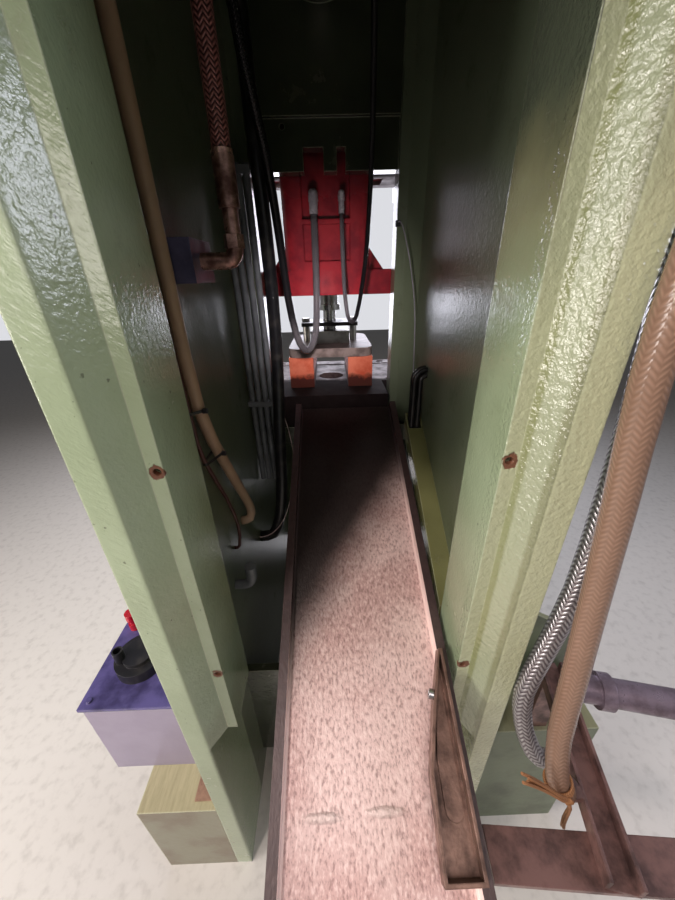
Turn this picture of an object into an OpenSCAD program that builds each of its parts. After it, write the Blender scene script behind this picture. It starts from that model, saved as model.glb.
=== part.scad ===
// Mechanical stamping press with a C-shaped frame, its die set, discharge chute and drive.
// Millimetres. Z is up, the operator stands at the front (-Y), the open back faces +Y.
// The origin lies on the floor at the centre of the four anchor bolts.

/* [Frame] */
// Depth of the side plates, front to back
frame_d = 1216; // [1180:1:1300]
// Clear width between the two side plates
inner_w = 492; // [470:1:540]
// Thickness of a side plate
plate_t = 36; // [25:1:50]
// Height of the bed's machined top
bed_z = 916; // [880:1:940]
// Depth of the open gap in the side plates
throat_d = 410; // [390:1:430]
// Height of that gap's upper edge over the slide's bottom face, slide down
gap_over_slide = 287; // [262:1:297]
// Radius in the upper corner of the gap
throat_r = 60; // [20:1:80]
// Lower end of the rear pilasters
pilaster_z = 575; // [450:1:620]
// How far a rear pilaster stands in from its side plate
pilaster_in = 43; // [30:1:43]
// Depth of a rear pilaster
pilaster_d = 141; // [100:1:150]
// How far a throat pilaster stands in from its side plate
throat_pilaster_in = 61; // [40:1:61]
// Depth of a throat pilaster
throat_pilaster_d = 98; // [90:1:98]
// Thickness of the bed's top plate
bed_t = 60; // [40:1:80]
// Thickness of the welded cross plates
cross_t = 20; // [12:1:30]
// Height of the crown over the eccentric shaft
crown_over_shaft = 220; // [200:1:300]

/* [Feet] */
// Spacing of the anchor bolts from left to right
anchor_x = 736; // [720:1:780]
// Distance of the anchor bolts from the front and the rear of the frame
anchor_in = 208; // [180:1:230]
// Diameter of the anchor bolt holes
anchor_hole = 28; // [18:1:34]
// Thickness of a foot's base plate
foot_base_t = 30; // [20:1:40]
// Reach of the foot that carries the tank
foot_reach = 173; // [165:1:190]
// Height of the foot that carries the tank
foot_h = 315; // [280:1:340]
// Reach of the wide rear foot
wide_foot_reach = 282; // [260:1:290]
// Height of the wide rear foot
wide_foot_h = 448; // [400:1:450]
// Height of the front feet
front_foot_h = 120; // [90:1:160]

/* [Bolster and dies] */
// Thickness of the bolster plate
bolster_t = 98; // [80:1:110]
// Width of the bolster plate in front of the side plates
bolster_w = 760; // [660:1:800]
// Clearance of the bolster's tongue between the throat pilasters, on each side
tongue_gap = 7; // [3:1:20]
// Height of the parallels under the die set
parallel_h = 100; // [80:1:110]
// Width of one parallel
parallel_w = 80; // [60:1:90]
// Thickness of the die shoe
shoe_t = 28; // [20:1:32]
// Height of the die block
die_h = 40; // [30:1:42]
// Gap for the sheet metal strip between die and stripper
strip_gap = 16; // [10:1:16]
// Thickness of the stripper plate
stripper_t = 12; // [8:1:14]
// Diameter of the punch
punch_d = 44; // [30:1:60]

/* [Slide] */
// Stroke of the slide
stroke = 60; // [40:1:60]
// Width of the slide's bottom flange
flange_w = 400; // [360:1:420]
// Thickness of the slide's bottom flange
flange_t = 67; // [50:1:80]
// Depth of the slide, front to back
slide_d = 300; // [290:1:310]
// Width of the slide's body
slide_w = 246; // [236:1:250]
// Shut height: slide's bottom face over the bolster at the end of the stroke
shut_h = 284; // [284:1:296]
// Clearance between the slide and the crown's rear wall
slide_gap = 14; // [8:1:20]
// Running clearance of the slide in its ways
way_gap = 0.2; // [0.1:0.05:0.3]

/* [Drive] */
// Diameter of the eccentric shaft
shaft_d = 110; // [90:1:116]
// Diameter of the eccentric
eccentric_d = 130; // [122:1:140]
// Length of the connecting rod from eccentric to ball
rod_l = 430; // [425:1:440]
// Thickness of the connecting rod's ring
ring_t = 40; // [30:1:44]
// Height of the ball's centre over the slide's bottom face
ball_over_slide = 202; // [196:1:206]
// Diameter of the ball on the adjusting screw
ball_d = 68; // [56:1:72]
// Running clearance of shafts and bushes, on the radius
run_gap = 0.06; // [0.02:0.01:0.09]
// Diameter of the flywheel
flywheel_d = 660; // [600:1:680]
// Width of the flywheel's rim
flywheel_w = 96; // [84:1:110]
// Diameter of the motor pulley
pulley_d = 124; // [110:1:140]
// Number of V-belts
belts = 3; // [2:1:4]
// Height of the motor shaft above the crown's top plate
motor_centre = 160; // [155:1:190]

/* [Chute] */
// Room that the side plates leave beside the chute's floor, both sides together
chute_room = 217; // [212:1:260]
// Offset of the chute from the press's centre
chute_x = -42; // [-42:1:-10]
// Slope of the chute in degrees
chute_slope = 23.5; // [20:0.5:25]
// How far the chute stands out behind the frame
chute_out = 284; // [200:1:320]
// Height of the chute's rails over its floor
rail_h = 22; // [15:1:30]
// Width of the lip on each rail
rail_lip = 14; // [8:1:14]

/* [Oil tank and console] */
// Width of the oil tank
tank_w = 256; // [220:1:280]
// Depth of the oil tank, front to back
tank_d = 260; // [220:1:280]
// Height of the oil tank
tank_h = 246; // [200:1:280]
// Width of the two-hand console
console_w = 440; // [400:1:520]
// Height of the console's upper side
console_top = 850; // [800:1:900]

/* [Hidden] */
$fn = 64;

// Heights from the bed up to the crown
bolster_top = bed_z + bolster_t;
slide_z = bolster_top + shut_h;
ball_z = slide_z + ball_over_slide;
shaft_z = ball_z + rod_l + stroke / 2;
throat_top = slide_z + gap_over_slide;
frame_h = shaft_z + crown_over_shaft;

// Frame
rear_y = frame_d / 2;
front_y = -frame_d / 2;
in_x = inner_w / 2;
out_x = in_x + plate_t;
throat_y = front_y + throat_d;
anchor_y = frame_d - 2 * anchor_in;
throat_pilaster_y = throat_y + throat_pilaster_d;
throat_in = in_x - throat_pilaster_in;
pilaster_x = in_x - pilaster_in;
guard_hole_z = pilaster_z + 171;
guard_hole_gap = 400;
guard_hole_r = 5;
guard_hole_in = 8;
rear_plate_z = shaft_z - 320;
rear_plate_t = 60;
front_plate_z = throat_top + 105;
front_plate_t = 40;
wall_t = 40;
wall_step = 14;
wall_step_z = throat_top + 102;
notch_h = 47;
top_t = 25;
top_z = frame_h + top_t;
top_front = 128;
chamfer_h = 120;
cross_y = rear_y - 237;
cross_foot = 60;
access_r = 70;
chamfer_x = 19;
chamfer_y = 36;

// Feet
foot_wall = 14;
foot_d = 344;
wide_foot_d = 304;
wide_foot_in = 64;
rib_from_bolt = 60;
front_foot_d = 160;
gusset_t = 16;
brace_end = 142;
brace_h = 311;
brace_y = rear_y - 202;

// Slide and dies
slide_y = throat_y - slide_gap - slide_d / 2;
slide_rear = slide_y + slide_d / 2;
flange_top = slide_z + flange_t;
slide_top = shaft_z - stroke / 2 - eccentric_d / 2 - ring_t - 15;
panel_z = flange_top + 127;
panel_top = slide_top - 110;
panel_x = 66;
panel_deep = 26;
fitting_h = 46;
pocket_x = ball_d / 2 + stroke / 2 + 20;
pocket_y = 60;
pocket_z = ball_z - ball_d / 2 - stroke * 0.13;
way_z = throat_top + 15;
way_top = slide_top + 10;
wing_w = 47;
wing_d = 80;
gib_d = 160;
body_gap = 1;
tongue_w = 2 * (throat_in - tongue_gap);
bolster_rear = throat_y + 80;
bolster_step = throat_y - 77;
shoe_z = bolster_top + parallel_h;
shoe_top = shoe_z + shoe_t;
shoe_w = 274;
shoe_d = 312;
die_top = shoe_top + die_h;
stripper_z = die_top + strip_gap;
stripper_top = stripper_z + stripper_t;
stripper_w = 190;
stripper_d = 120;
post_d = 24;
post_x = stripper_w / 2 - post_d / 2;
punch_hole = 0.5;
opening_w = 90;
shank_r = 25;

// Drive
shaft_r = shaft_d / 2;
bush_t = 13;
bush_r = shaft_r + bush_t;
ecc_r = eccentric_d / 2;
ecc_w = 116;
cheek_t = 22;
cheek_r = 82;
rod_w = 110;
screw_r = 26;
socket_r = 42;
socket_z = ball_z + 100;
clutch_t = 22;
clutch_r = 150;
clutch_gap = 4;
flywheel_r = flywheel_d / 2;
flywheel_y = rear_y + clutch_t + 2 * clutch_gap;
flywheel_rear = flywheel_y + flywheel_w;
groove_w = 14;
groove_deep = 13;
belt_w = 12;
belt_t = 10.5;
belt_gap = 1;
belt_pitch = 22;
belt_y = flywheel_y + flywheel_w / 2 - (belts - 1) / 2 * belt_pitch;
pulley_r = pulley_d / 2;
motor_z = top_z + motor_centre;
belt_c = motor_z - shaft_z;
motor_base_t = 20;
motor_r = 112;
motor_rear = rear_y - 28;
motor_l = 340;
motor_shaft_r = 19;
guard_gap = 20;
guard_t = 3;
guard_rear = flywheel_rear + 40;

// Chute
chute_w = inner_w - chute_room;
chute_t = 3;
chute_far_y = bolster_rear + 14;
chute_far_z = bolster_top - 38;
chute_l = (rear_y + chute_out - chute_far_y) / cos(chute_slope);
rail_x = chute_w / 2 + chute_t;
channel_w = 44;
channel_h = 25;
channel_t = 5;
tray_x = -rail_x - 1.5;
tray_l = 274;
tray_y = chute_l - tray_l - 128;
tray_w = 58;
strip_end = 204;
bar_t = 10;
bar_w = 57;
bar_y = rear_y + 120;
bar_x = chute_x - rail_x - rail_lip - 7;
bar_l = 376;
bar_angle = 4.8;
bar_z = chute_height(bar_y + bar_w / 2) + rail_h - 12;
outer_angle = 13;
outer_l = 300;
outer_x = -out_x - 148;
outer_y = rear_y - 102;
round_r = 25;

// Tank
tank_y = rear_y - foot_d;
tank_x = out_x + 1;
lid_t = 8;
tank_top = foot_h + tank_h;
cap_x = tank_x + 172;
cap_y = tank_y + 166;
cap_r = 52;

// Routes of the hoses: points along the middle of each hose, measured from a corner
// of the frame or from the slide, so that they follow it
tan_r = 11;
tan_route = from([in_x, rear_y, bed_z], [[-20, -216, frame_h - bed_z], [-20, -218, 984],
  [-20, -220, 724], [-20, -221, 434], [-20, -232, 244], [-20, -308, 94], [-21, -388, -36],
  [-24, -418, -101], [-22, -408, -126], [0, -404, -131]]);
maroon_r = 4;
maroon_route = from([in_x, rear_y, bed_z], [[-12, -198, frame_h - bed_z], [-12, -198, 784],
  [-12, -200, 504], [-12, -213, 234], [-12, -228, 144], [-12, -298, 14], [-14, -332, -86],
  [-12, -322, -141], [0, -320, -146]]);
bundle_r = 17;
bundle_route = from([in_x, throat_pilaster_y, bed_z], [[-96, 80, frame_h - bed_z],
  [-96, 78, 884], [-98, 60, 644], [-99, 38, 424], [-96, 60, 204], [-90, 100, 44],
  [-84, 124, -116], [-70, 140, -236], [-42, 144, -311], [0, 144, -320]]);
thick_r = 10;
thick_route = from([0, slide_rear, slide_z], [[33, 22, 202], [33, 26, 122], [35, 42, 2],
  [42, 62, -98], [58, 77, -140], [78, 92, -142], [96, 114, -93], [108, 136, 2],
  [114, 172, 142], [121, 232, 282], [134, 312, 392], [141, 352, 532], [142, 362, 702],
  [142, 362, frame_h - slide_z]]);
thin_r = 6;
thin_route = from([0, slide_rear, slide_z], [[-42, 22, 202], [-43, 28, 122], [-46, 44, 22],
  [-54, 57, -52], [-66, 64, -70], [-80, 68, -52], [-96, 74, 32], [-106, 88, 132],
  [-109, 142, 302], [-100, 232, 422], [-92, 292, 522], [-90, 307, 662],
  [-90, 312, frame_h - slide_z]]);
brown_r = 16;
brown_route = from([-out_x, rear_y, bed_z], [[0, -40, 984], [-30, -36, 974],
  [-50, -26, 914], [-40, -12, 724], [-24, 10, 584], [-4, 23, 454], [-8, 22, 344],
  [-24, 26, 204], [-34, 34, 74], [-36, 52, -66], [-36, 68, -176], [-40, 86, -246],
  [-48, 92, -276], [-62, 93, -286]]);
silver_r = 15;
silver_route = from([-out_x, rear_y, bed_z], [[0, -84, 944], [-30, -82, 934],
  [-54, -74, 864], [-58, -64, 684], [-54, -48, 484], [-49, -24, 308], [-52, -18, 194],
  [-50, -10, 34], [-32, -2, -83], [-14, 8, -176], [-22, 18, -244], [-36, 30, -288],
  [-54, 38, -316], [-86, 42, -326]]);

function from(start, route) = [for (p = route) start + p];
function chute_height(y) = chute_far_z - (y - chute_far_y) * tan(chute_slope);
function dir(v) = v / norm(v);
function tangent(p, i) =
  i == 0 ? dir(p[1] - p[0]) :
  i == len(p) - 1 ? dir(p[i] - p[i - 1]) : dir(p[i + 1] - p[i - 1]);

// A round hose along a route, with a flat end at each end point.
// side is a direction that the hose never runs in.
module hose(route, r, side = [1, 0, 0], n = 8) {
  rings = [for (i = [0:len(route) - 1])
    let (t = i == 0 || i == len(route) - 1 ? end_dir(route, i) : tangent(route, i),
         u = dir(cross(t, side)), v = cross(t, u))
    [for (k = [0:n - 1]) route[i] + r * (cos(360 * k / n) * u + sin(360 * k / n) * v)]];
  count = len(route);
  walls = [for (i = [0:count - 2], k = [0:n - 1])
    let (a = i * n + k, b = i * n + (k + 1) % n)
    each [[a, a + n, b], [b, a + n, b + n]]];
  ends = [[for (k = [0:n - 1]) k], [for (k = [n - 1:-1:0]) (count - 1) * n + k]];
  polyhedron([for (ring = rings) each ring], concat(walls, ends));
}

// An end lies square to the face it meets, so it follows the nearest main direction
function end_dir(p, i) =
  let (t = tangent(p, i), a = [abs(t[0]), abs(t[1]), abs(t[2])])
  a[2] >= a[0] && a[2] >= a[1] ? [0, 0, sign(t[2])] :
  a[0] >= a[1] ? [sign(t[0]), 0, 0] : [0, sign(t[1]), 0];

// Turns a shape drawn around Z so that it lies around +Y
module along_y() { rotate([-90, 0, 0]) children(); }

module rod_y(r, y0, y1, x = 0, z = 0) {
  translate([x, y0, z]) along_y() cylinder(r = r, h = y1 - y0);
}

module box(x0, x1, y0, y1, z0, z1) {
  translate([x0, y0, z0]) cube([x1 - x0, y1 - y0, z1 - z0]);
}

// Outline drawn in Y and Z, given a thickness along X from x0
module sheet_x(x0, t) {
  translate([x0, 0, 0]) rotate([90, 0, 90]) linear_extrude(t) children();
}

// Outline drawn in X and Z, given a thickness along Y from y0
module sheet_y(y0, t) {
  translate([0, y0 + t, 0]) rotate([90, 0, 0]) linear_extrude(t) children();
}

module side_outline() {
  difference() {
    polygon([[rear_y, 0], [rear_y, frame_h], [front_y + top_front, frame_h],
      [front_y, frame_h - chamfer_h], [front_y, 0]]);
    translate([front_y - 1, bed_z])
      square([throat_d + 1 - throat_r, throat_top - bed_z]);
    translate([front_y - 1, bed_z])
      square([throat_d + 1, throat_top - bed_z - throat_r]);
    translate([throat_y - throat_r, throat_top - throat_r]) circle(throat_r);
  }
}

// Side plate with its rear and throat pilasters, drawn on the +X side
module side_plate() {
  color("darkseagreen") difference() {
    union() {
      sheet_x(in_x, plate_t) side_outline();
      translate([0, 0, pilaster_z]) linear_extrude(rear_plate_z - pilaster_z)
        polygon([[in_x, rear_y], [pilaster_x + chamfer_x, rear_y - chamfer_y],
          [pilaster_x, rear_y - chamfer_y],
          [pilaster_x, rear_y - pilaster_d], [in_x, rear_y - pilaster_d]]);
      translate([0, 0, bed_z]) linear_extrude(frame_h - bed_z)
        polygon([[in_x, throat_pilaster_y], [throat_in + 25, throat_pilaster_y - 38],
          [throat_in, throat_pilaster_y - 38], [throat_in, throat_y], [in_x, throat_y]]);
    }
    for (z = [guard_hole_z, guard_hole_z + guard_hole_gap])
      rod_y(guard_hole_r, rear_y - 80, rear_y, pilaster_x + guard_hole_in, z);
  }
}

module bed_plate() {
  color("darkseagreen") difference() {
    box(-in_x, in_x, front_y, throat_pilaster_y, bed_z - bed_t, bed_z);
    translate([0, slide_y, bed_z - bed_t - 1]) cylinder(r = opening_w / 2, h = bed_t + 2);
  }
}

module bed_front_plate() {
  color("darkseagreen") difference() {
    box(-in_x, in_x, front_y, front_y + cross_t, cross_foot, bed_z - bed_t);
    rod_y(access_r, front_y - 1, front_y + cross_t + 1, 0, (cross_foot + bed_z - bed_t) / 2);
  }
}

module lower_cross_plate() {
  color("darkseagreen")
    box(-in_x, in_x, cross_y, cross_y + cross_t, cross_foot, wide_foot_h);
}

module shaft_bore(y0, y1) { rod_y(bush_r, y0, y1, 0, shaft_z); }

module crown_rear_wall() {
  color("darkseagreen") difference() {
    union() {
      box(-throat_in, throat_in, throat_y, throat_y + wall_t, throat_top, frame_h);
      box(-throat_in, throat_in, throat_y + wall_t, throat_y + wall_t + wall_step,
        wall_step_z, frame_h);
      rod_y(bush_r + 27, throat_y + wall_t, throat_y + wall_t + 40, 0, shaft_z);
    }
    shaft_bore(throat_y - 1, throat_y + wall_t + 41);
    // Notches that let the slide's hose fittings rise with it
    for (x = [[2, 52], [-53, -31]])
      box(x[0], x[1], throat_y - 1, throat_y + wall_t + wall_step + 1, throat_top - 1,
        throat_top + notch_h);
    rod_y(6, throat_y - 1, throat_y + wall_t + wall_step + 1, 99, wall_step_z - 15);
  }
}

module crown_front_plate() {
  color("darkseagreen") difference() {
    union() {
      box(-in_x, in_x, front_y, front_y + front_plate_t, front_plate_z,
        frame_h - chamfer_h);
      rod_y(bush_r + 32, front_y - 18, front_y + 10, 0, shaft_z);
    }
    shaft_bore(front_y - 6, front_y + front_plate_t + 1);
    for (a = [15:60:315])
      translate([0, front_y - 19, shaft_z]) rotate([0, a, 0])
        rod_y(6, 0, 10, bush_r + 17, 0);
  }
}

module crown_top_plate() {
  color("darkseagreen")
    box(-out_x, out_x, front_y + top_front, rear_y, frame_h, top_z);
}

module rear_bearing_plate() {
  color("darkseagreen") difference() {
    box(-in_x, in_x, rear_y - rear_plate_t, rear_y, rear_plate_z, frame_h);
    shaft_bore(rear_y - rear_plate_t - 1, rear_y + 1);
  }
}

// Welded foot box on the +X side: base, top, two end walls and a rib, open outwards
module foot(reach, y0, y1, h) {
  color("darkseagreen") difference() {
    union() {
      box(out_x, out_x + reach, y0, y1, 0, foot_base_t);
      box(out_x, out_x + reach, y0, y1, h - foot_wall, h);
      for (y = [y0, anchor_y / 2 + rib_from_bolt, y1 - foot_wall])
        box(out_x, out_x + reach, y, y + foot_wall, foot_base_t, h - foot_wall);
    }
    translate([anchor_x / 2, anchor_y / 2, -1])
      cylinder(r = anchor_hole / 2, h = foot_base_t + 2);
  }
}

// Wide foot with the sloping brace that stands on it against the side plate
module foot_rear_left() {
  mirror([1, 0, 0]) {
    foot(wide_foot_reach, rear_y - wide_foot_in - wide_foot_d, rear_y - wide_foot_in,
      wide_foot_h);
    color("darkseagreen") sheet_y(brace_y, foot_wall)
      polygon([[out_x, wide_foot_h], [out_x + wide_foot_reach, wide_foot_h],
        [out_x + wide_foot_reach, wide_foot_h + brace_end], [out_x, wide_foot_h + brace_h]]);
  }
}

module foot_rear_right() {
  foot(foot_reach, rear_y - foot_d, rear_y, foot_h);
}

module front_feet() {
  for (side = [0, 1]) mirror([side, 0, 0])
    color("darkseagreen") difference() {
      union() {
        box(out_x, out_x + foot_reach, -anchor_y / 2 - front_foot_d / 2,
          -anchor_y / 2 + front_foot_d / 2, 0, foot_base_t);
        for (y = [-front_foot_d / 2, front_foot_d / 2 - gusset_t])
          sheet_y(-anchor_y / 2 + y, gusset_t)
            polygon([[out_x, foot_base_t], [out_x + foot_reach, foot_base_t],
              [out_x + foot_reach - 40, foot_base_t + 20], [out_x + 20, front_foot_h],
              [out_x, front_foot_h]]);
      }
      translate([anchor_x / 2, -anchor_y / 2, -1])
        cylinder(r = anchor_hole / 2, h = foot_base_t + 2);
    }
}

module t_slot(y) {
  box(-bolster_w / 2 - 1, bolster_w / 2 + 1, y - 9, y + 9, bolster_top - 34,
    bolster_top + 1);
  box(-bolster_w / 2 - 1, bolster_w / 2 + 1, y - 15, y + 15, bolster_top - 34,
    bolster_top - 20);
}

bolster_bolt_x = 210;
bolster_bolt_y = [bolster_step - 22, front_y + 30];
module bolster_plate() {
  color("dimgray") difference() {
    translate([0, 0, bed_z]) linear_extrude(bolster_t)
      polygon([[-bolster_w / 2, front_y], [bolster_w / 2, front_y],
        [bolster_w / 2, bolster_step], [tongue_w / 2, bolster_step],
        [tongue_w / 2, bolster_rear], [-tongue_w / 2, bolster_rear],
        [-tongue_w / 2, bolster_step], [-bolster_w / 2, bolster_step]]);
    t_slot(slide_y - shoe_d / 2 - 24);
    translate([0, slide_y, bed_z - 1]) cylinder(r = opening_w / 2, h = bolster_t + 2);
    for (x = [-bolster_bolt_x, bolster_bolt_x], y = bolster_bolt_y)
      translate([x, y, bolster_top - 20]) cylinder(r = 15, h = 21);
  }
}

module slide_gibs() {
  for (side = [0, 1]) mirror([side, 0, 0])
    color("gray") difference() {
      box(slide_w / 2 + body_gap, in_x, slide_y - gib_d / 2, slide_y + gib_d / 2, way_z,
        way_top);
      box(slide_w / 2, slide_w / 2 + wing_w + way_gap, slide_y - wing_d / 2 - way_gap,
        slide_y + wing_d / 2 + way_gap, way_z - 1, way_top + 1);
    }
}

// Hexagon head or socket screw head standing on a face
module screw_head(r, h) {
  difference() {
    cylinder(r = r, h = h);
    translate([0, 0, h * 0.4]) cylinder(r = r * 0.55, h = h, $fn = 6);
  }
}

module fasteners() {
  color("silver") {
    for (x = [-bolster_bolt_x, bolster_bolt_x], y = bolster_bolt_y)
      translate([x, y, bolster_top - 20]) screw_head(13, 16);
    for (side = [0, 1], z = [way_z + 50, way_top - 50]) mirror([side, 0, 0])
      translate([out_x, slide_y, z]) rotate([0, 90, 0]) screw_head(15, 16);
    on_chute() translate([tray_x + 28.2, tray_y + 67, rail_h + 14])
      rotate([0, 0, -17.2]) rotate([0, 90, 0]) screw_head(8, 8);
  }
}

module bush(y0, y1) {
  difference() {
    rod_y(bush_r, y0, y1, 0, shaft_z);
    rod_y(shaft_r + run_gap, y0 - 1, y1 + 1, 0, shaft_z);
  }
}

module shaft_bushes() {
  color("peru") {
    bush(front_y - 6, front_y + front_plate_t);
    bush(throat_y, throat_y + wall_t + 40);
    bush(rear_y - rear_plate_t, rear_y);
  }
}

module eccentric_shaft() {
  color("silver") {
    rod_y(shaft_r, front_y - 5.5, slide_y - ecc_w / 2, 0, shaft_z);
    rod_y(shaft_r, slide_y + ecc_w / 2, flywheel_rear + 14, 0, shaft_z);
    rod_y(ecc_r, slide_y - ecc_w / 2, slide_y + ecc_w / 2, 0, shaft_z - stroke / 2);
    for (y = [slide_y - ecc_w / 2 - cheek_t, slide_y + ecc_w / 2])
      rod_y(cheek_r, y, y + cheek_t, 0, shaft_z - stroke / 4);
  }
}

module clutch_disc() {
  color("dimgray") difference() {
    union() {
      rod_y(clutch_r, rear_y + clutch_gap, rear_y + clutch_gap + clutch_t - 8, 0, shaft_z);
      rod_y(clutch_r - 50, rear_y + clutch_gap, rear_y + clutch_gap + clutch_t, 0,
        shaft_z);
    }
    rod_y(shaft_r, rear_y, rear_y + 40, 0, shaft_z);
    for (a = [0:45:315])
      translate([0, rear_y, shaft_z]) rotate([0, a, 0]) rod_y(9, 0, 40, clutch_r - 25, 0);
  }
}

module connecting_rod() {
  pin_z = shaft_z - stroke / 2;
  color("slategray") difference() {
    union() {
      rod_y(ecc_r + ring_t, slide_y - rod_w / 2, slide_y + rod_w / 2, 0, pin_z);
      sheet_y(slide_y - 36, 72)
        polygon([[-80, pin_z - 50], [80, pin_z - 50], [socket_r - 4, pin_z - 150],
          [socket_r - 4, socket_z + 60], [-socket_r + 4, socket_z + 60],
          [-socket_r + 4, pin_z - 150]]);
      translate([0, slide_y, socket_z]) cylinder(r = socket_r, h = 130);
    }
    rod_y(ecc_r + run_gap, slide_y - rod_w, slide_y + rod_w, 0, pin_z);
    translate([0, slide_y, socket_z - 1]) cylinder(r = screw_r, h = 161);
  }
}

module adjusting_screw() {
  color("silver") {
    translate([0, slide_y, ball_z + 60]) cylinder(r = screw_r, h = socket_z - ball_z + 80);
    translate([0, slide_y, ball_z]) cylinder(r = 20, h = 61);
    translate([0, slide_y, ball_z]) sphere(r = ball_d / 2);
    translate([0, slide_y, ball_z + 66]) cylinder(r = 40, h = 16, $fn = 6);
  }
}

module slide_casting() {
  color("firebrick") difference() {
    union() {
      box(-flange_w / 2, flange_w / 2, slide_y - slide_d / 2, slide_rear,
        slide_z, flange_top);
      box(-slide_w / 2 + 26, slide_w / 2 - 26, slide_y - slide_d / 2,
        slide_rear, flange_top, slide_top);
      box(-slide_w / 2, slide_w / 2, slide_y - slide_d / 2 + 26,
        slide_rear - 26, flange_top, slide_top);
      for (x = [-1, 1], y = [-1, 1])
        translate([x * (slide_w / 2 - 26), slide_y + y * (slide_d / 2 - 26), flange_top])
          cylinder(r = 26, h = slide_top - flange_top);
      for (side = [0, 1]) mirror([side, 0, 0])
        box(slide_w / 2 - 1, slide_w / 2 + wing_w, slide_y - wing_d / 2,
          slide_y + wing_d / 2, way_z + 10, slide_top);
      for (side = [0, 1]) mirror([side, 0, 0])
        sheet_y(slide_rear - 46, 18)
          polygon([[slide_w / 2 - 2, flange_top], [slide_w / 2 + 44, flange_top],
            [slide_w / 2 - 2, flange_top + 60]]);
    }
    // Pocket for the connecting rod, open at the top
    box(-pocket_x, pocket_x, slide_y - pocket_y, slide_y + pocket_y, pocket_z,
      slide_top + 1);
    // Panels let into the rear face
    box(-panel_x, panel_x, slide_rear - 14, slide_rear + 1,
      flange_top + 24, panel_z - 12);
    box(-panel_x, panel_x, slide_rear - panel_deep, slide_rear + 1,
      panel_z, panel_top);
    // Shank hole
    translate([0, slide_y, slide_z - 1]) cylinder(r = shank_r, h = 71);
  }
}

// Hose fittings on the slide's rear face, with hexagon and ferrule
module slide_hose_fittings() {
  face = slide_rear - panel_deep;
  for (p = [[thick_route[0], thick_r], [thin_route[0], thin_r]])
    color("silver") {
      translate([p[0][0], face, p[0][2] + fitting_h]) along_y()
        cylinder(r = p[1], h = p[0][1] - face);
      translate([p[0][0], p[0][1], p[0][2] + fitting_h]) sphere(r = p[1] + 2);
      translate([p[0][0], p[0][1], p[0][2] + 28]) cylinder(r = p[1] + 3, h = 14, $fn = 6);
      translate([p[0][0], p[0][1], p[0][2]]) cylinder(r = p[1] + 1.5, h = fitting_h);
    }
}

module punch_stem() {
  color("silver") translate([0, slide_y, 0]) {
    translate([0, 0, slide_z - 52]) cylinder(r = 38, h = 18);
    translate([0, 0, slide_z - 34]) cylinder(r = 31, h = 34);
    translate([0, 0, slide_z]) cylinder(r = shank_r - 0.5, h = 60);
    translate([0, 0, die_top - 2]) cylinder(r = punch_d / 2, h = slide_z - 52 - die_top + 2);
  }
}

module stripper_plate() {
  color("dimgray") difference() {
    box(-stripper_w / 2, stripper_w / 2, slide_y - stripper_d / 2,
      slide_y + stripper_d / 2, stripper_z, stripper_top);
    translate([0, slide_y, stripper_z - 1])
      cylinder(r = punch_d / 2 + punch_hole, h = stripper_t + 2);
    for (x = [-post_x, post_x])
      translate([x, slide_y, stripper_z - 1]) cylinder(r = post_d / 2 - 4, h = 40);
  }
}

module guide_posts() {
  color("dimgray") for (x = [-post_x, post_x]) translate([x, slide_y, 0]) {
    translate([0, 0, shoe_top]) cylinder(r = post_d / 2, h = stripper_z - shoe_top);
    translate([0, 0, stripper_z]) cylinder(r = post_d / 2 - 4, h = stripper_t);
    translate([0, 0, stripper_top]) cylinder(r = post_d / 2 + 2, h = 10, $fn = 6);
  }
}

module die_block() {
  color("lightgray") difference() {
    box(-66, 66, slide_y - stripper_d / 2, slide_y + stripper_d / 2, shoe_top, die_top);
    translate([0, slide_y, die_top - 8])
      cylinder(r = punch_d / 2 + punch_hole, h = 9);
    translate([0, slide_y, shoe_top - 1]) cylinder(r = punch_d / 2 + 3, h = die_h - 6);
    box(-6, 6, slide_y + stripper_d / 2 - 6, slide_y + stripper_d / 2 + 1,
      shoe_top + 14, shoe_top + 24);
  }
}

module die_shoe() {
  corner = 34;
  color("gainsboro") difference() {
    translate([0, slide_y, shoe_z]) linear_extrude(shoe_t) union() {
      square([shoe_w - 2 * corner, shoe_d], center = true);
      square([shoe_w, shoe_d - 2 * corner], center = true);
      for (x = [-1, 1], y = [-1, 1])
        translate([x * (shoe_w / 2 - corner), y * (shoe_d / 2 - corner)]) circle(corner);
    }
    translate([0, slide_y, shoe_z - 1]) cylinder(r = punch_d / 2 + 5, h = shoe_t + 2);
  }
}

module die_parallels() {
  color("firebrick") for (x = [-1, 1])
    translate([x * (shoe_w / 2 - parallel_w / 2), slide_y, bolster_top])
      box(-parallel_w / 2, parallel_w / 2, -shoe_d / 2 + 6, shoe_d / 2 - 6, 0, parallel_h);
}

module belt_groove(r) {
  for (i = [0:belts - 1])
    translate([0, 0, i * belt_pitch]) rotate_extrude($fn = 120)
      polygon([[r - groove_deep, -groove_w / 2 + 1], [r - groove_deep, groove_w / 2 - 1],
        [r + 1, groove_w / 2 + 0.5], [r + 1, -groove_w / 2 - 0.5]]);
}

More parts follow.
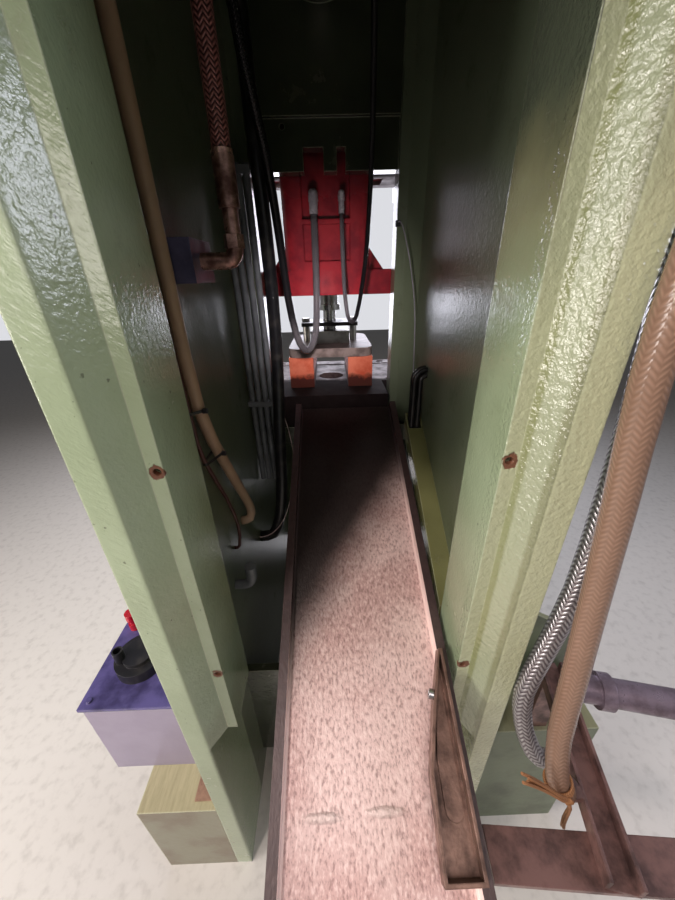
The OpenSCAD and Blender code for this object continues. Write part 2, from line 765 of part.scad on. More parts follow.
module flywheel() {
  web = 30;
  color("dimgray") difference() {
    union() {
      difference() {
        rod_y(flywheel_r, flywheel_y, flywheel_rear, 0, shaft_z);
        rod_y(flywheel_r - 78, flywheel_y - 1, flywheel_rear + 1, 0, shaft_z);
      }
      rod_y(flywheel_r - 70, flywheel_y + 33, flywheel_y + 33 + web, 0, shaft_z);
      rod_y(96, flywheel_y, flywheel_rear, 0, shaft_z);
    }
    rod_y(shaft_r + run_gap, flywheel_y - 1, flywheel_rear + 1, 0, shaft_z);
    for (a = [0:60:300])
      translate([0, flywheel_y, shaft_z]) rotate([0, a, 0])
        rod_y(42, 0, flywheel_w, 172, 0);
    translate([0, belt_y, shaft_z]) along_y() belt_groove(flywheel_r);
  }
}

// Outline round two pulleys, the lower one at the origin
module belt_outline(a, b) {
  tilt = asin((a - b) / belt_c);
  circle(a, $fn = 120);
  translate([0, belt_c]) circle(b);
  polygon([[a * cos(tilt), a * sin(tilt)], [b * cos(tilt), belt_c + b * sin(tilt)],
    [-b * cos(tilt), belt_c + b * sin(tilt)], [-a * cos(tilt), a * sin(tilt)]]);
}

module v_belts() {
  big = flywheel_r - groove_deep + belt_gap;
  small = pulley_r - groove_deep + belt_gap;
  color("black") for (i = [0:belts - 1])
    translate([0, belt_y + i * belt_pitch - belt_w / 2, shaft_z]) sheet_y(0, belt_w)
      difference() {
        belt_outline(big + belt_t, small + belt_t);
        belt_outline(big, small);
      }
}

module flywheel_guard() {
  big = flywheel_r + guard_gap;
  small = pulley_r + guard_gap;
  color("darkseagreen") difference() {
    translate([0, 0, shaft_z]) sheet_y(rear_y, guard_rear - rear_y)
      belt_outline(big, small);
    translate([0, 0, shaft_z]) sheet_y(rear_y - 1, guard_rear - rear_y - guard_t + 1)
      belt_outline(big - guard_t, small - guard_t);
    for (x = [-150, 150], z = [-120:30:90])
      translate([x, guard_rear, shaft_z + z]) cube([120, 20, 8], center = true);
  }
}

module motor() {
  color("slategray") difference() {
    union() {
      rod_y(motor_r - 14, motor_rear - motor_l, motor_rear, 0, motor_z);
      for (a = [0:15:345])
        translate([0, motor_rear - motor_l + 70, motor_z]) rotate([0, a, 0])
          box(-2.5, 2.5, 0, motor_l - 90, motor_r - 20, motor_r);
      rod_y(motor_r, motor_rear - motor_l, motor_rear - motor_l + 60, 0, motor_z);
      rod_y(motor_r, motor_rear - 18, motor_rear, 0, motor_z);
      for (y = [motor_rear - 80, motor_rear - motor_l + 90])
        box(-110, 110, y, y + 44, top_z + motor_base_t, top_z + motor_base_t + 18);
      for (x = [-100, 74], y = [motor_rear - 80, motor_rear - motor_l + 90])
        box(x, x + 26, y, y + 44, top_z + motor_base_t, motor_z - 40);
      box(60, 168, motor_rear - 190, motor_rear - 90, motor_z + 10, motor_z + 84);
    }
    rod_y(motor_shaft_r + run_gap, motor_rear - 60, motor_rear + 1, 0, motor_z);
  }
}

module motor_pulley() {
  color("gray") difference() {
    union() {
      rod_y(motor_shaft_r, motor_rear - 59, flywheel_rear - 10, 0, motor_z);
      rod_y(pulley_r, belt_y - 14, belt_y + (belts - 1) * belt_pitch + 14, 0, motor_z);
    }
    translate([0, belt_y, motor_z]) along_y() belt_groove(pulley_r);
  }
}

module motor_base() {
  color("darkseagreen") difference() {
    box(-150, 150, motor_rear - motor_l + 40, motor_rear - 10, top_z,
      top_z + motor_base_t);
    box(-50, 50, motor_rear - motor_l + 150, motor_rear - 110, top_z - 1,
      top_z + motor_base_t + 1);
  }
}

// Everything on the chute is drawn along +Y from its far end and tilted to its slope
module on_chute() {
  translate([chute_x, chute_far_y, chute_far_z]) rotate([-chute_slope, 0, 0]) children();
}

module chute_pan() {
  color("darkgray") difference() {
    union() {
      on_chute() {
        box(-chute_w / 2 - chute_t, chute_w / 2 + chute_t, 0, chute_l, -chute_t, 0);
        for (side = [0, 1]) mirror([side, 0, 0]) {
          box(chute_w / 2, rail_x, 0, chute_l, -chute_t, rail_h);
          box(chute_w / 2, rail_x + rail_lip, 0, chute_l, rail_h - chute_t, rail_h);
        }
      }
      // Turned-down end that stands on the bed
      box(chute_x - chute_w / 2, chute_x + chute_w / 2, chute_far_y, chute_far_y + chute_t,
        bed_z, chute_far_z - 1);
    }
    for (a = [-40, 40])
      on_chute() translate([a, chute_l - 22, -10]) cylinder(r = 5, h = 20);
  }
}

// Channel section drawn across, open upwards, running along +Y
module channel(w, h, t, l) {
  translate([-w / 2, 0, 0]) difference() {
    cube([w, l, h]);
    translate([t, -1, t]) cube([w - 2 * t, l + 2, h]);
  }
}

module chute_channel() {
  color("dimgray") on_chute() translate([tray_x, tray_y, rail_h]) {
    difference() {
      linear_extrude(channel_h) tray_outline(0);
      translate([0, 0, channel_t]) linear_extrude(channel_h) tray_outline(channel_t);
    }
    // Raised strip along the bottom, with a rounded end
    translate([0, 0, channel_t]) linear_extrude(4) {
      polygon([[10, 30], [12, 30], [27, 84], [38, 150], [38, strip_end], [10, strip_end]]);
      translate([24, strip_end]) circle(14);
    }
  }
}

// Plan of the tapered tray channel, its walls drawn in by an inset
module tray_outline(inset) {
  polygon([[inset, inset], [7 - inset * 0.3, inset], [34 - inset, 87 - inset * 0.3],
    [54 - inset, 166 - inset * 0.2], [tray_w - inset, tray_l - inset],
    [inset, tray_l - inset]]);
}

module cross_bar() {
  color("dimgray") translate([bar_x, bar_y, bar_z - bar_t]) rotate([0, 0, -bar_angle])
    translate([-bar_l, 0, 0]) cube([bar_l, bar_w, bar_t]);
}

module outer_channel() {
  color("dimgray") {
    translate([outer_x, outer_y, bar_z]) rotate([0, 0, -outer_angle])
      channel(channel_w, channel_h, channel_t, outer_l);
    for (p = [[brown_route[13], brown_r], [silver_route[13], silver_r]])
      translate([p[0][0] - 16, p[0][1], p[0][2]]) rotate([0, 90, 0])
        cylinder(r = p[1] - 2, h = 16, $fn = 6);
  }
}

module round_bar() {
  color("gray") translate([outer_x, outer_y, bar_z + channel_h]) rotate([0, 0, -outer_angle])
    translate([-channel_w / 2 - 0.2, 45, 0]) rotate([0, -90, 0]) {
      cylinder(r = round_r, h = 236);
      translate([0, 0, 42]) cylinder(r = round_r + 7, h = 22);
    }
}

module bar_bracket() {
  color("dimgray")
    box(outer_x - 20, outer_x + 24, outer_y - 10, outer_y + 30, wide_foot_h, bar_z);
}

module oil_tank() {
  color("gainsboro")
    box(tank_x, tank_x + tank_w, tank_y, tank_y + tank_d, foot_h, tank_top);
}

module tank_lid() {
  color("darkslategray") {
    difference() {
      box(tank_x - 0.5, tank_x + tank_w + 5, tank_y - 5, tank_y + tank_d + 5, tank_top,
        tank_top + lid_t);
      translate([cap_x, cap_y, tank_top - 1]) cylinder(r = 30, h = lid_t + 2);
    }
    for (x = [tank_x + 12, tank_x + tank_w - 12], y = [tank_y + 12, tank_y + tank_d - 12])
      translate([x, y, tank_top + lid_t]) cylinder(r = 6, h = 5);
  }
}

module filler_cap() {
  color("black") {
    translate([cap_x, cap_y, tank_top + lid_t + 0.3]) cylinder(r = cap_r, h = 26);
    translate([cap_x, cap_y, tank_top + 1]) cylinder(r = 29.5, h = lid_t);
    translate([cap_x, cap_y, tank_top + lid_t + 26]) cylinder(r = cap_r - 18, h = 10);
    translate([cap_x + 34, cap_y + 14, tank_top + lid_t + 26]) difference() {
      cylinder(r = 11, h = 34);
      translate([0, 0, 8]) cylinder(r = 8, h = 40);
    }
  }
}

module level_indicator() {
  color("crimson") {
    translate([tank_x + 232, tank_y + 76, tank_top + lid_t]) cylinder(r = 13, h = 18);
    translate([tank_x + 232, tank_y + 76, tank_top + lid_t + 18]) cylinder(r = 10, h = 14);
    translate([tank_x + 232, tank_y + 76, tank_top + lid_t + 32]) cylinder(r = 14, h = 20);
  }
}

valve_y = rear_y - 288;
valve_z = shaft_z - 615;
riser_x = in_x - 108;
riser_z = valve_z + 161;
pipe_bend = 16;
module valve_box() {
  color("black") {
    box(in_x - 56, in_x, valve_y - 40, valve_y + 52, valve_z, valve_z + 58);
  }
}

module valve_pipe() {
  z = valve_z + 29;
  bend = pipe_bend;
  color("darkgoldenrod") {
    translate([riser_x + bend, valve_y + 10, z]) rotate([0, 90, 0])
      cylinder(r = 12, h = in_x - 56 - riser_x - bend);
    translate([riser_x + bend, valve_y + 10, z + bend]) rotate([90, 180, 0])
      rotate_extrude(angle = 90) translate([bend, 0]) circle(12);
    translate([riser_x, valve_y + 10, z + bend]) cylinder(r = 15, h = 18, $fn = 6);
    translate([riser_x, valve_y + 10, z + bend + 18]) cylinder(r = 11, h = 60);
    translate([riser_x, valve_y + 10, z + bend + 50]) cylinder(r = 15, h = riser_z - z - bend - 50);
  }
}

module braided_riser() {
  color("maroon")
    translate([riser_x, valve_y + 10, riser_z]) cylinder(r = 13, h = frame_h - riser_z);
}

module tan_hose() { color("tan") hose(tan_route, tan_r, [0, 1, 0.3]); }
module maroon_line() { color("maroon") hose(maroon_route, maroon_r, [0, 1, 0.3]); }
module hanging_bundle() {
  color("black") hose(bundle_route, bundle_r, [0, 1, 0.2], 10);
}
module slide_hose_thick() { color("dimgray") hose(thick_route, thick_r, [0.3, 1, 0]); }
module slide_hose_thin() { color("dimgray") hose(thin_route, thin_r, [0.3, 1, 0]); }
module outer_hose_brown() { color("tan") hose(brown_route, brown_r, [0, 1, 0.05], 10); }
module outer_hose_silver() {
  color("lightgray") hose(silver_route, silver_r, [0, 1, 0.05], 10);
}

// Rigid conduits down the wall, held by two clamp bars, and the elbow under them
conduit_y = throat_pilaster_y + 50;
conduit_z = bed_z - 156;
conduit_top = throat_top - 5;
elbow_y = rear_y - 278;
elbow_z = bed_z - 223;
elbow_bend = 22;
module wall_conduits() {
  color("dimgray") {
    for (i = [0:3])
      translate([in_x - 12 - i * 19, conduit_y, conduit_z])
        cylinder(r = 8, h = conduit_top - conduit_z);
    for (z = [bed_z + 94, conduit_top - 20])
      box(in_x - 78, in_x, conduit_y - 11, conduit_y + 11, z, z + 16);
    translate([in_x - 20, elbow_y, elbow_z]) rotate([0, 90, 0]) cylinder(r = 11, h = 20);
    translate([in_x - 20, elbow_y, elbow_z + elbow_bend]) rotate([90, 180, 0])
      rotate_extrude(angle = 90) translate([elbow_bend, 0]) circle(11);
    translate([in_x - 20 - elbow_bend, elbow_y, elbow_z + elbow_bend])
      cylinder(r = 13, h = 34);
  }
}

duct_y = [throat_pilaster_y + 124, rear_y - 153];
duct_z = [bed_z + 85, bed_z - 169];
duct_w = 42;
module cable_duct() {
  color("darkkhaki") difference() {
    sheet_x(-in_x, duct_w)
      polygon([[duct_y[0], duct_z[0]], [duct_y[1], duct_z[1]], [duct_y[1], duct_z[1] - 44],
        [duct_y[0], duct_z[0] - 60]]);
    box(-in_x + 4, -in_x + duct_w - 4, duct_y[0] + 4, duct_y[0] + 46, duct_z[0] - 60,
      duct_z[0] + 1);
  }
}

module arch_conduits() {
  color("black") for (row = [0, 1], bend = [15, 30])
    translate([-in_x, duct_y[0] + 14 + row * 20, 0]) {
      top = duct_z[0] + 99 + bend;
      translate([0, 0, top - bend]) rotate([90, 0, 0])
        rotate_extrude(angle = 90) translate([bend, 0]) circle(6.5);
      translate([bend, 0, duct_z[0] - 58]) cylinder(r = 6.5, h = top - bend - duct_z[0] + 58);
    }
}

console_h = 70;
console_d = 96;
button_x = console_w / 2 - 60;
module control_box() {
  color("darkseagreen") difference() {
    box(-console_w / 2, console_w / 2, front_y - console_d, front_y,
      console_top - console_h, console_top);
    for (x = [-button_x, button_x])
      translate([x, front_y - console_d / 2, console_top - 24]) cylinder(r = 20.3, h = 30);
  }
}

module palm_button(x) {
  color("darkred") translate([x, front_y - console_d / 2, console_top]) {
    translate([0, 0, -15]) cylinder(r = 20, h = 22);
    translate([0, 0, 7]) intersection() {
      translate([0, 0, -22]) sphere(r = 44);
      cylinder(r = 30, h = 30);
    }
  }
}

mirror([1, 0, 0]) side_plate();  // side_plate_left
side_plate();  // side_plate_right
bed_plate();
bed_front_plate();
lower_cross_plate();
crown_rear_wall();
crown_front_plate();
crown_top_plate();
rear_bearing_plate();
foot_rear_left();
foot_rear_right();
front_feet();
bolster_plate();
slide_gibs();
fasteners();
shaft_bushes();
eccentric_shaft();
clutch_disc();
connecting_rod();
adjusting_screw();
slide_casting();
slide_hose_fittings();
punch_stem();
stripper_plate();
guide_posts();
die_block();
die_shoe();
die_parallels();
flywheel();
flywheel_guard();
v_belts();
motor();
motor_pulley();
motor_base();
chute_pan();
chute_channel();
cross_bar();
outer_channel();
round_bar();
bar_bracket();
oil_tank();
tank_lid();
filler_cap();
level_indicator();
valve_box();
valve_pipe();
braided_riser();
tan_hose();
maroon_line();
wall_conduits();
slide_hose_thick();
slide_hose_thin();
hanging_bundle();
cable_duct();
arch_conduits();
outer_hose_brown();
outer_hose_silver();
control_box();
palm_button(-button_x);  // palm_button_left
palm_button(button_x);  // palm_button_right
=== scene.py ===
# Mechanical stamping press, seen from its open back. Metres, Z up, the open back faces +Y.
import bpy
import bmesh
import math
from mathutils import Matrix, Vector


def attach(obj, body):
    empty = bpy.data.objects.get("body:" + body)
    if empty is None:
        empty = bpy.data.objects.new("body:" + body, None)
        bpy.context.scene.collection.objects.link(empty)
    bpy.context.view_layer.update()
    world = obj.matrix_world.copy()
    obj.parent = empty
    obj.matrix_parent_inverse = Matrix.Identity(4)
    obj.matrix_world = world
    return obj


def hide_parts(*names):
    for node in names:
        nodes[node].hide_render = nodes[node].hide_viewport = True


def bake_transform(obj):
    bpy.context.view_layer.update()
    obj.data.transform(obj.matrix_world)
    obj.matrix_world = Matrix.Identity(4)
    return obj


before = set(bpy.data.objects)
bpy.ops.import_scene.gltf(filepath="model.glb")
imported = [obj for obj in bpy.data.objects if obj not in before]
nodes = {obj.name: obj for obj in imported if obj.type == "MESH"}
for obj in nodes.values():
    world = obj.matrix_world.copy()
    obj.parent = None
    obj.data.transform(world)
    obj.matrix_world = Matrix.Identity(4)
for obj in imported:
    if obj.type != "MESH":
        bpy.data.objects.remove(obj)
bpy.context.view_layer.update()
scene = bpy.context.scene


# Camera: found from the picture's vanishing points
pictureCamera = {
    "place": (0.0, 0.932, 1.35),
    "focalPixels": 345.0,
    "pictureSize": (675.0, 900.0),
    "depthVanish": (328.0, 276.0),   # where the chute and the columns' depth lines meet
    "plumbVanish": (356.0, 1134.0),  # where the columns' upright edges meet
    "sensor": 36.0,
}


def placeCamera(view):
    width, height = view["pictureSize"]
    focal = view["focalPixels"]

    def ray(pixel):
        return Vector((pixel[0] - width / 2, pixel[1] - height / 2, focal)).normalized()

    depth = ray(view["depthVanish"])
    down = ray(view["plumbVanish"])
    down = (down - depth * down.dot(depth)).normalized()
    right = down.cross(depth)
    # Row i holds the camera's right, down and forward directions' share along X, Y or Z of the press
    turn = Matrix([[-right[i] for i in range(3)],
                   [-depth[i] for i in range(3)],
                   [-down[i] for i in range(3)]])
    turn = turn @ Matrix.Diagonal((1, -1, -1))
    camera = bpy.data.objects.new("camera", bpy.data.cameras.new("camera"))
    camera.data.sensor_width = view["sensor"]
    camera.data.lens = focal * view["sensor"] / max(width, height)
    camera.data.clip_start = 0.02
    camera.matrix_world = Matrix.Translation(Vector(view["place"])) @ turn.to_4x4()
    scene.collection.objects.link(camera)
    scene.camera = camera


placeCamera(pictureCamera)
print("camera placed")


# Materials. Colours are sRGB hex values; fillInputs turns them to linear.
def linear(hexColour):
    channels = [int(hexColour[i:i + 2], 16) / 255 for i in (1, 3, 5)]
    return [c / 12.92 if c <= 0.04045 else ((c + 0.055) / 1.055) ** 2.4 for c in channels] + [1.0]


def fillInputs(tree, node, inputs):
    # inputs: a dictionary by socket, or a tuple in the sockets' order
    filled = inputs.items() if isinstance(inputs, dict) else enumerate(inputs)
    for socket, value in filled:
        if isinstance(value, bpy.types.NodeSocket):
            tree.links.new(value, node.inputs[socket])
        else:
            node.inputs[socket].default_value = linear(value) if isinstance(value, str) else value


def addNode(tree, kind, inputs=(), output=0, **settings):
    # Adds a node with its settings and links, and gives back one of its outputs
    node = tree.nodes.new("ShaderNode" + kind)
    for name, value in settings.items():
        setattr(node, name, value)
    fillInputs(tree, node, inputs)
    return node.outputs[output]


def newMaterial(name):
    material = bpy.data.materials.new(name)
    material.use_nodes = True
    tree = material.node_tree
    place = addNode(tree, "TexCoord", output="Object")
    return material, tree, tree.nodes["Principled BSDF"], place


# Patterns that several finishes share. Sizes are in millimetres, as on the real surface.
def blotches(tree, place, sizeMm, detail, low, high, roughness=0.55):
    # Soft-edged patches, 0 between them and 1 in them
    noise = addNode(tree, "TexNoise", {"Vector": place, "Scale": 1000.0 / sizeMm, "Detail": detail,
                                       "Roughness": roughness}, "Fac")
    return addNode(tree, "MapRange", {"Value": noise, "From Min": low, "From Max": high},
                   interpolation_type="SMOOTHSTEP")


def wander(tree, place, sizeMm, reach, detail=3.0):
    # A length that strays to both sides of zero, so that a border isn't straight
    noise = addNode(tree, "TexNoise", {"Vector": place, "Scale": 1000.0 / sizeMm, "Detail": detail,
                                       "Roughness": 0.55}, "Fac")
    centred = addNode(tree, "Math", (noise, 0.5), operation="SUBTRACT")
    return addNode(tree, "Math", (centred, reach), operation="MULTIPLY")


def covered(tree, colour, tone, share, most):
    # A tone laid over a colour, thickest where the share is 1
    thickness = addNode(tree, "Math", (share, most), operation="MULTIPLY")
    return addNode(tree, "Mix", {0: thickness, 6: colour, 7: tone}, 2, data_type="RGBA")


def lumpy(tree, place, normal, sizeMm, depthMm, detail=3.0):
    # Rounded lumps of about one size
    noise = addNode(tree, "TexNoise", {"Vector": place, "Scale": 1000.0 / sizeMm, "Detail": detail,
                                       "Roughness": 0.55}, "Fac")
    return addNode(tree, "Bump", {"Height": noise, "Strength": 1.0, "Distance": depthMm / 1000.0,
                                  "Normal": normal})


def streaks(tree, place, acrossMm, alongMm, tiltDegrees):
    # Noise drawn out along one direction of the XZ plane, as a brush or a filling knife leaves it
    turned = addNode(tree, "VectorRotate", {"Vector": place, "Angle": math.radians(tiltDegrees)},
                     rotation_type="Y_AXIS")
    drawn = addNode(tree, "VectorMath", (turned, (acrossMm / alongMm, 1.0, 1.0)), operation="MULTIPLY")
    return addNode(tree, "TexNoise", {"Vector": drawn, "Scale": 1000.0 / acrossMm, "Detail": 3.0,
                                      "Roughness": 0.55}, "Fac")


def awayFrom(tree, place, point, stretch=(1, 1, 1)):
    # The distance to a point, with each axis stretched by so much
    moved = addNode(tree, "Mapping", {"Vector": place, "Scale": stretch,
                                      "Location": [-p * s for p, s in zip(point, stretch)]})
    return addNode(tree, "VectorMath", (moved,), "Value", operation="LENGTH")


def facingUp(tree):
    # 1 on level tops, 0 on upright sides
    facing = addNode(tree, "NewGeometry", output="Normal")
    height = addNode(tree, "SeparateXYZ", (facing,), "Z")
    return addNode(tree, "MapRange", {"Value": height, "From Min": 0.5, "From Max": 0.8},
                   interpolation_type="SMOOTHSTEP")


def edgeShare(tree, rounded):
    # 1 on the rounded edges, 0 on the flats beside them
    flat = addNode(tree, "NewGeometry", output="Normal")
    alike = addNode(tree, "VectorMath", (rounded, flat), "Value", operation="DOT_PRODUCT")
    unlike = addNode(tree, "Math", (1.0, alike), operation="SUBTRACT")
    return addNode(tree, "MapRange", {"Value": unlike, "From Min": 0.02, "From Max": 0.15},
                   interpolation_type="SMOOTHSTEP")


# Darkening past a line, dulled like thick oil, with a border that strays by half of the reach to either side.
# On the slide's top it is painted shade
oilLook = {"borderMm": 30.0, "reach": 0.05, "cover": 0.93, "dulls": 0.35}


def oilyPast(tree, place, colour, rough, axis, line, soft, tone):
    # Darker and duller where the place along one axis, times the sign of soft, passes the line
    along = addNode(tree, "SeparateXYZ", (place,), axis)
    border = wander(tree, place, oilLook["borderMm"], oilLook["reach"], detail=4.0)
    along = addNode(tree, "Math", (along, border), operation="ADD")
    past = addNode(tree, "Math", (along, line), operation="SUBTRACT")
    share = addNode(tree, "Math", (past, soft), operation="DIVIDE", use_clamp=True)
    colour = covered(tree, colour, tone, share, oilLook["cover"])
    rough = addNode(tree, "Math", (share, oilLook["dulls"], rough), operation="MULTIPLY_ADD", use_clamp=True)
    return colour, rough


# Gloss enamel, brushed thickly over filler: broad soft highlights that lumps break up, grime in patches, and
# rust where it has chipped. Real orange peel is about 1 mm wide, and is drawn at 4 and 7 mm so that it shows.
enamelLook = {
    "patchMm": 420.0,
    "grimeMm": 90.0,
    "grime": "#5d5a3c",
    "grimeCover": 0.45,
    "grimeDulls": 0.25,
    "speckMm": 9.0,
    "speck": "#3a3a2a",
    "speckCover": 0.6,
    "roughness": 0.2,
    "gloss": 0.35,
    "glossRoughness": 0.05,
    "edgeMm": 3.0,
    # Pale rounded edges: partly wear, partly a painted highlight
    "edgeWearAndHighlight": "#dfe6c8",
    "edgeWearAndHighlightCover": 0.5,
    "lumpsMm": 14.0,
    "lumpDepthMm": 0.5,
    "peelMm": 4.0,
    "peelDepthMm": 0.14,
}
# What the two columns have besides. Right is the picture's right, at -X.
columnLook = {
    "streakMm": (5.0, 16.0, 40.0),      # across, along, and tilt in degrees
    "streakDepthMm": 0.55,
    "outerFromY": 0.55,                 # the outer faces lie beyond this Y
    "oiledX": (0.2035, 0.2045),         # the right column's yellowing begins between these
    "oiledCover": 0.85,
    "outerTones": [(0.2, "#b4b998"), (0.2215, "#7c8058"), (0.2275, "#9aa086"), (0.241, "#7e8062"),
                   (0.2468, "#babe9c")],
    "toneSoft": (-0.0005, 0.0025),      # where one tone ends and the next is full
    "toneStrayMm": 25.0,
    "toneStray": 0.002,
    "bandX": (0.2255, 0.2415),          # the thickest enamel
    "bandSoft": (-0.003, 0.002),
    "bandStreakMm": (8.0, 22.0, 40.0),
    "bandShareLeft": 0.3,
    "bandDepthMm": 1.9,
    "outerPeelMm": 7.0,
    "outerPeelDepthMm": 1.5,
    # Each painted shade higher up: its tone, the heights between which it sets in, and how much it covers
    "paintedTopShades": [("#7c6c48", (1.3, 1.45), 0.6), ("#37423a", (1.38, 1.5), 0.85)],
    "topShadeX": (-0.2045, 0.0),
    "topStrayMm": 80.0,
    "topStray": 0.08,
    # The faces between the columns: darker partly from grime, partly as painted shade
    "sootAndShade": "#2c3026",
    "sootAndShadeCover": 0.62,
    "sootDulls": 0.17,
    "innerX": 0.2465,
    "innerToY": 0.462,                  # the faces between the columns end at this Y
    "innerMargin": 0.004,
    "weldX": 0.246,
    "weldReach": 0.011,
    "weldEdgeMm": 10.0,
    "rust": "#4a2a1c",
    "rustLight": "#8a5a40",
    "rustMm": 3.0,
    "rustDulls": 0.5,
    "chips": [(0.211, 0.572, 1.146), (-0.211, 0.572, 1.146), (0.211, 0.572, 0.746), (-0.211, 0.572, 0.746)],
    "chipRadiusMm": 17.0,               # with the whole of the ragged border, which takes 0 to 14 mm off
    "chipRaggedMm": (12.0, 14.0),       # the size of its waves, and how deep they go
    "chipSoft": (-0.001, 0.0006),
    "chipDepthMm": 1.2,
}


def grimyGreen(tree, place, light, dark, look):
    patches = blotches(tree, place, look["patchMm"], detail=4.0, low=0.35, high=0.68)
    colour = addNode(tree, "Mix", {0: patches, 6: light, 7: dark}, 2, data_type="RGBA")
    grime = blotches(tree, place, look["grimeMm"], detail=6.0, low=0.56, high=0.78, roughness=0.7)
    colour = covered(tree, colour, look["grime"], grime, look["grimeCover"])
    specks = blotches(tree, place, look["speckMm"], detail=2.0, low=0.72, high=0.76)
    colour = covered(tree, colour, look["speck"], specks, look["speckCover"])
    rough = addNode(tree, "Math", (grime, look["grimeDulls"], look["roughness"]), operation="MULTIPLY_ADD")
    return colour, rough


def orangePeel(tree, place, normal, look):
    normal = lumpy(tree, place, normal, look["lumpsMm"], look["lumpDepthMm"])
    return lumpy(tree, place, normal, look["peelMm"], look["peelDepthMm"], detail=2.0)


def glossOver(tree, shader, colour, rough, normal, look):
    fillInputs(tree, shader, {"Base Color": colour, "Roughness": rough, "Normal": normal,
                              "Coat Weight": look["gloss"], "Coat Roughness": look["glossRoughness"],
                              "Coat Normal": normal})


def greenEnamel(name, light, dark, look=enamelLook):
    material, tree, shader, place = newMaterial(name)
    colour, rough = grimyGreen(tree, place, light, dark, look)
    normal = addNode(tree, "Bevel", {"Radius": look["edgeMm"] / 1000.0}, samples=4)
    # Pale edges: partly wear, partly a painted highlight along the rounded edges
    colour = covered(tree, colour, look["edgeWearAndHighlight"], edgeShare(tree, normal), look["edgeWearAndHighlightCover"])
    glossOver(tree, shader, colour, rough, orangePeel(tree, place, normal, look), look)
    return material


def yellowedByOil(tree, place, colour, isOuter, look):
    # The right column's outer faces, with one tone after another from the inner edge outwards
    across = addNode(tree, "SeparateXYZ", (place,), "X")
    outward = addNode(tree, "Math", (across, -1.0), operation="MULTIPLY")
    startX, endX = look["oiledX"]
    oiled = addNode(tree, "MapRange", {"Value": outward, "From Min": startX, "From Max": endX},
                    interpolation_type="SMOOTHSTEP")
    oiled = addNode(tree, "Math", (oiled, isOuter), operation="MULTIPLY")
    stray = addNode(tree, "TexNoise", {"Vector": place, "Scale": 1000.0 / look["toneStrayMm"], "Detail": 3.0,
                                       "Roughness": 0.55}, "Fac")
    outward = addNode(tree, "Math", (stray, look["toneStray"], outward), operation="MULTIPLY_ADD")
    before, after = look["toneSoft"]
    tone = look["outerTones"][0][1]
    for start, nextTone in look["outerTones"][1:]:
        share = addNode(tree, "MapRange", {"Value": outward, "From Min": start + before,
                                           "From Max": start + after}, interpolation_type="SMOOTHSTEP")
        tone = addNode(tree, "Mix", {0: share, 6: tone, 7: nextTone}, 2, data_type="RGBA")
    return covered(tree, colour, tone, oiled, look["oiledCover"])


def paintedShadeHigherUp(tree, place, colour, look):
    # Painted shade: higher up, the right column's inner half turns brown, then nearly black
    across = addNode(tree, "SeparateXYZ", (place,), "X")
    along = addNode(tree, "SeparateXYZ", (place,), "Y")
    height = addNode(tree, "SeparateXYZ", (place,), "Z")
    lowX, highX = look["topShadeX"]
    afterLow = addNode(tree, "Math", (across, lowX), operation="GREATER_THAN")
    beforeHigh = addNode(tree, "Math", (across, highX), operation="LESS_THAN")
    inHalf = addNode(tree, "Math", (afterLow, beforeHigh), operation="MULTIPLY")
    isRear = addNode(tree, "Math", (along, look["innerToY"]), operation="GREATER_THAN")
    inHalf = addNode(tree, "Math", (inHalf, isRear), operation="MULTIPLY")
    stray = wander(tree, place, look["topStrayMm"], look["topStray"])
    height = addNode(tree, "Math", (height, stray), operation="ADD")
    for tone, (lowZ, highZ), most in look["paintedTopShades"]:
        share = addNode(tree, "MapRange", {"Value": height, "From Min": lowZ, "From Max": highZ},
                        interpolation_type="SMOOTHSTEP")
        share = addNode(tree, "Math", (share, inHalf), operation="MULTIPLY")
        colour = covered(tree, colour, tone, share, most)
    return colour


def rustyChips(tree, place, look):
    # 1 where the paint has come off round a screw hole, with a ragged border
    waveMm, reachMm = look["chipRaggedMm"]
    noise = addNode(tree, "TexNoise", {"Vector": place, "Scale": 1000.0 / waveMm, "Detail": 3.0,
                                       "Roughness": 0.55}, "Fac")
    ragged = addNode(tree, "Math", (noise, reachMm / 1000.0), operation="MULTIPLY")
    nearest = None
    for point in look["chips"]:
        away = addNode(tree, "Math", (awayFrom(tree, place, point), ragged), operation="ADD")
        if nearest is not None:
            away = addNode(tree, "Math", (nearest, away), operation="MINIMUM")
        nearest = away
    radius = look["chipRadiusMm"] / 1000.0
    before, after = look["chipSoft"]
    painted = addNode(tree, "MapRange", {"Value": nearest, "From Min": radius + before,
                                         "From Max": radius + after}, interpolation_type="SMOOTHSTEP")
    return addNode(tree, "Math", (1.0, painted), operation="SUBTRACT")


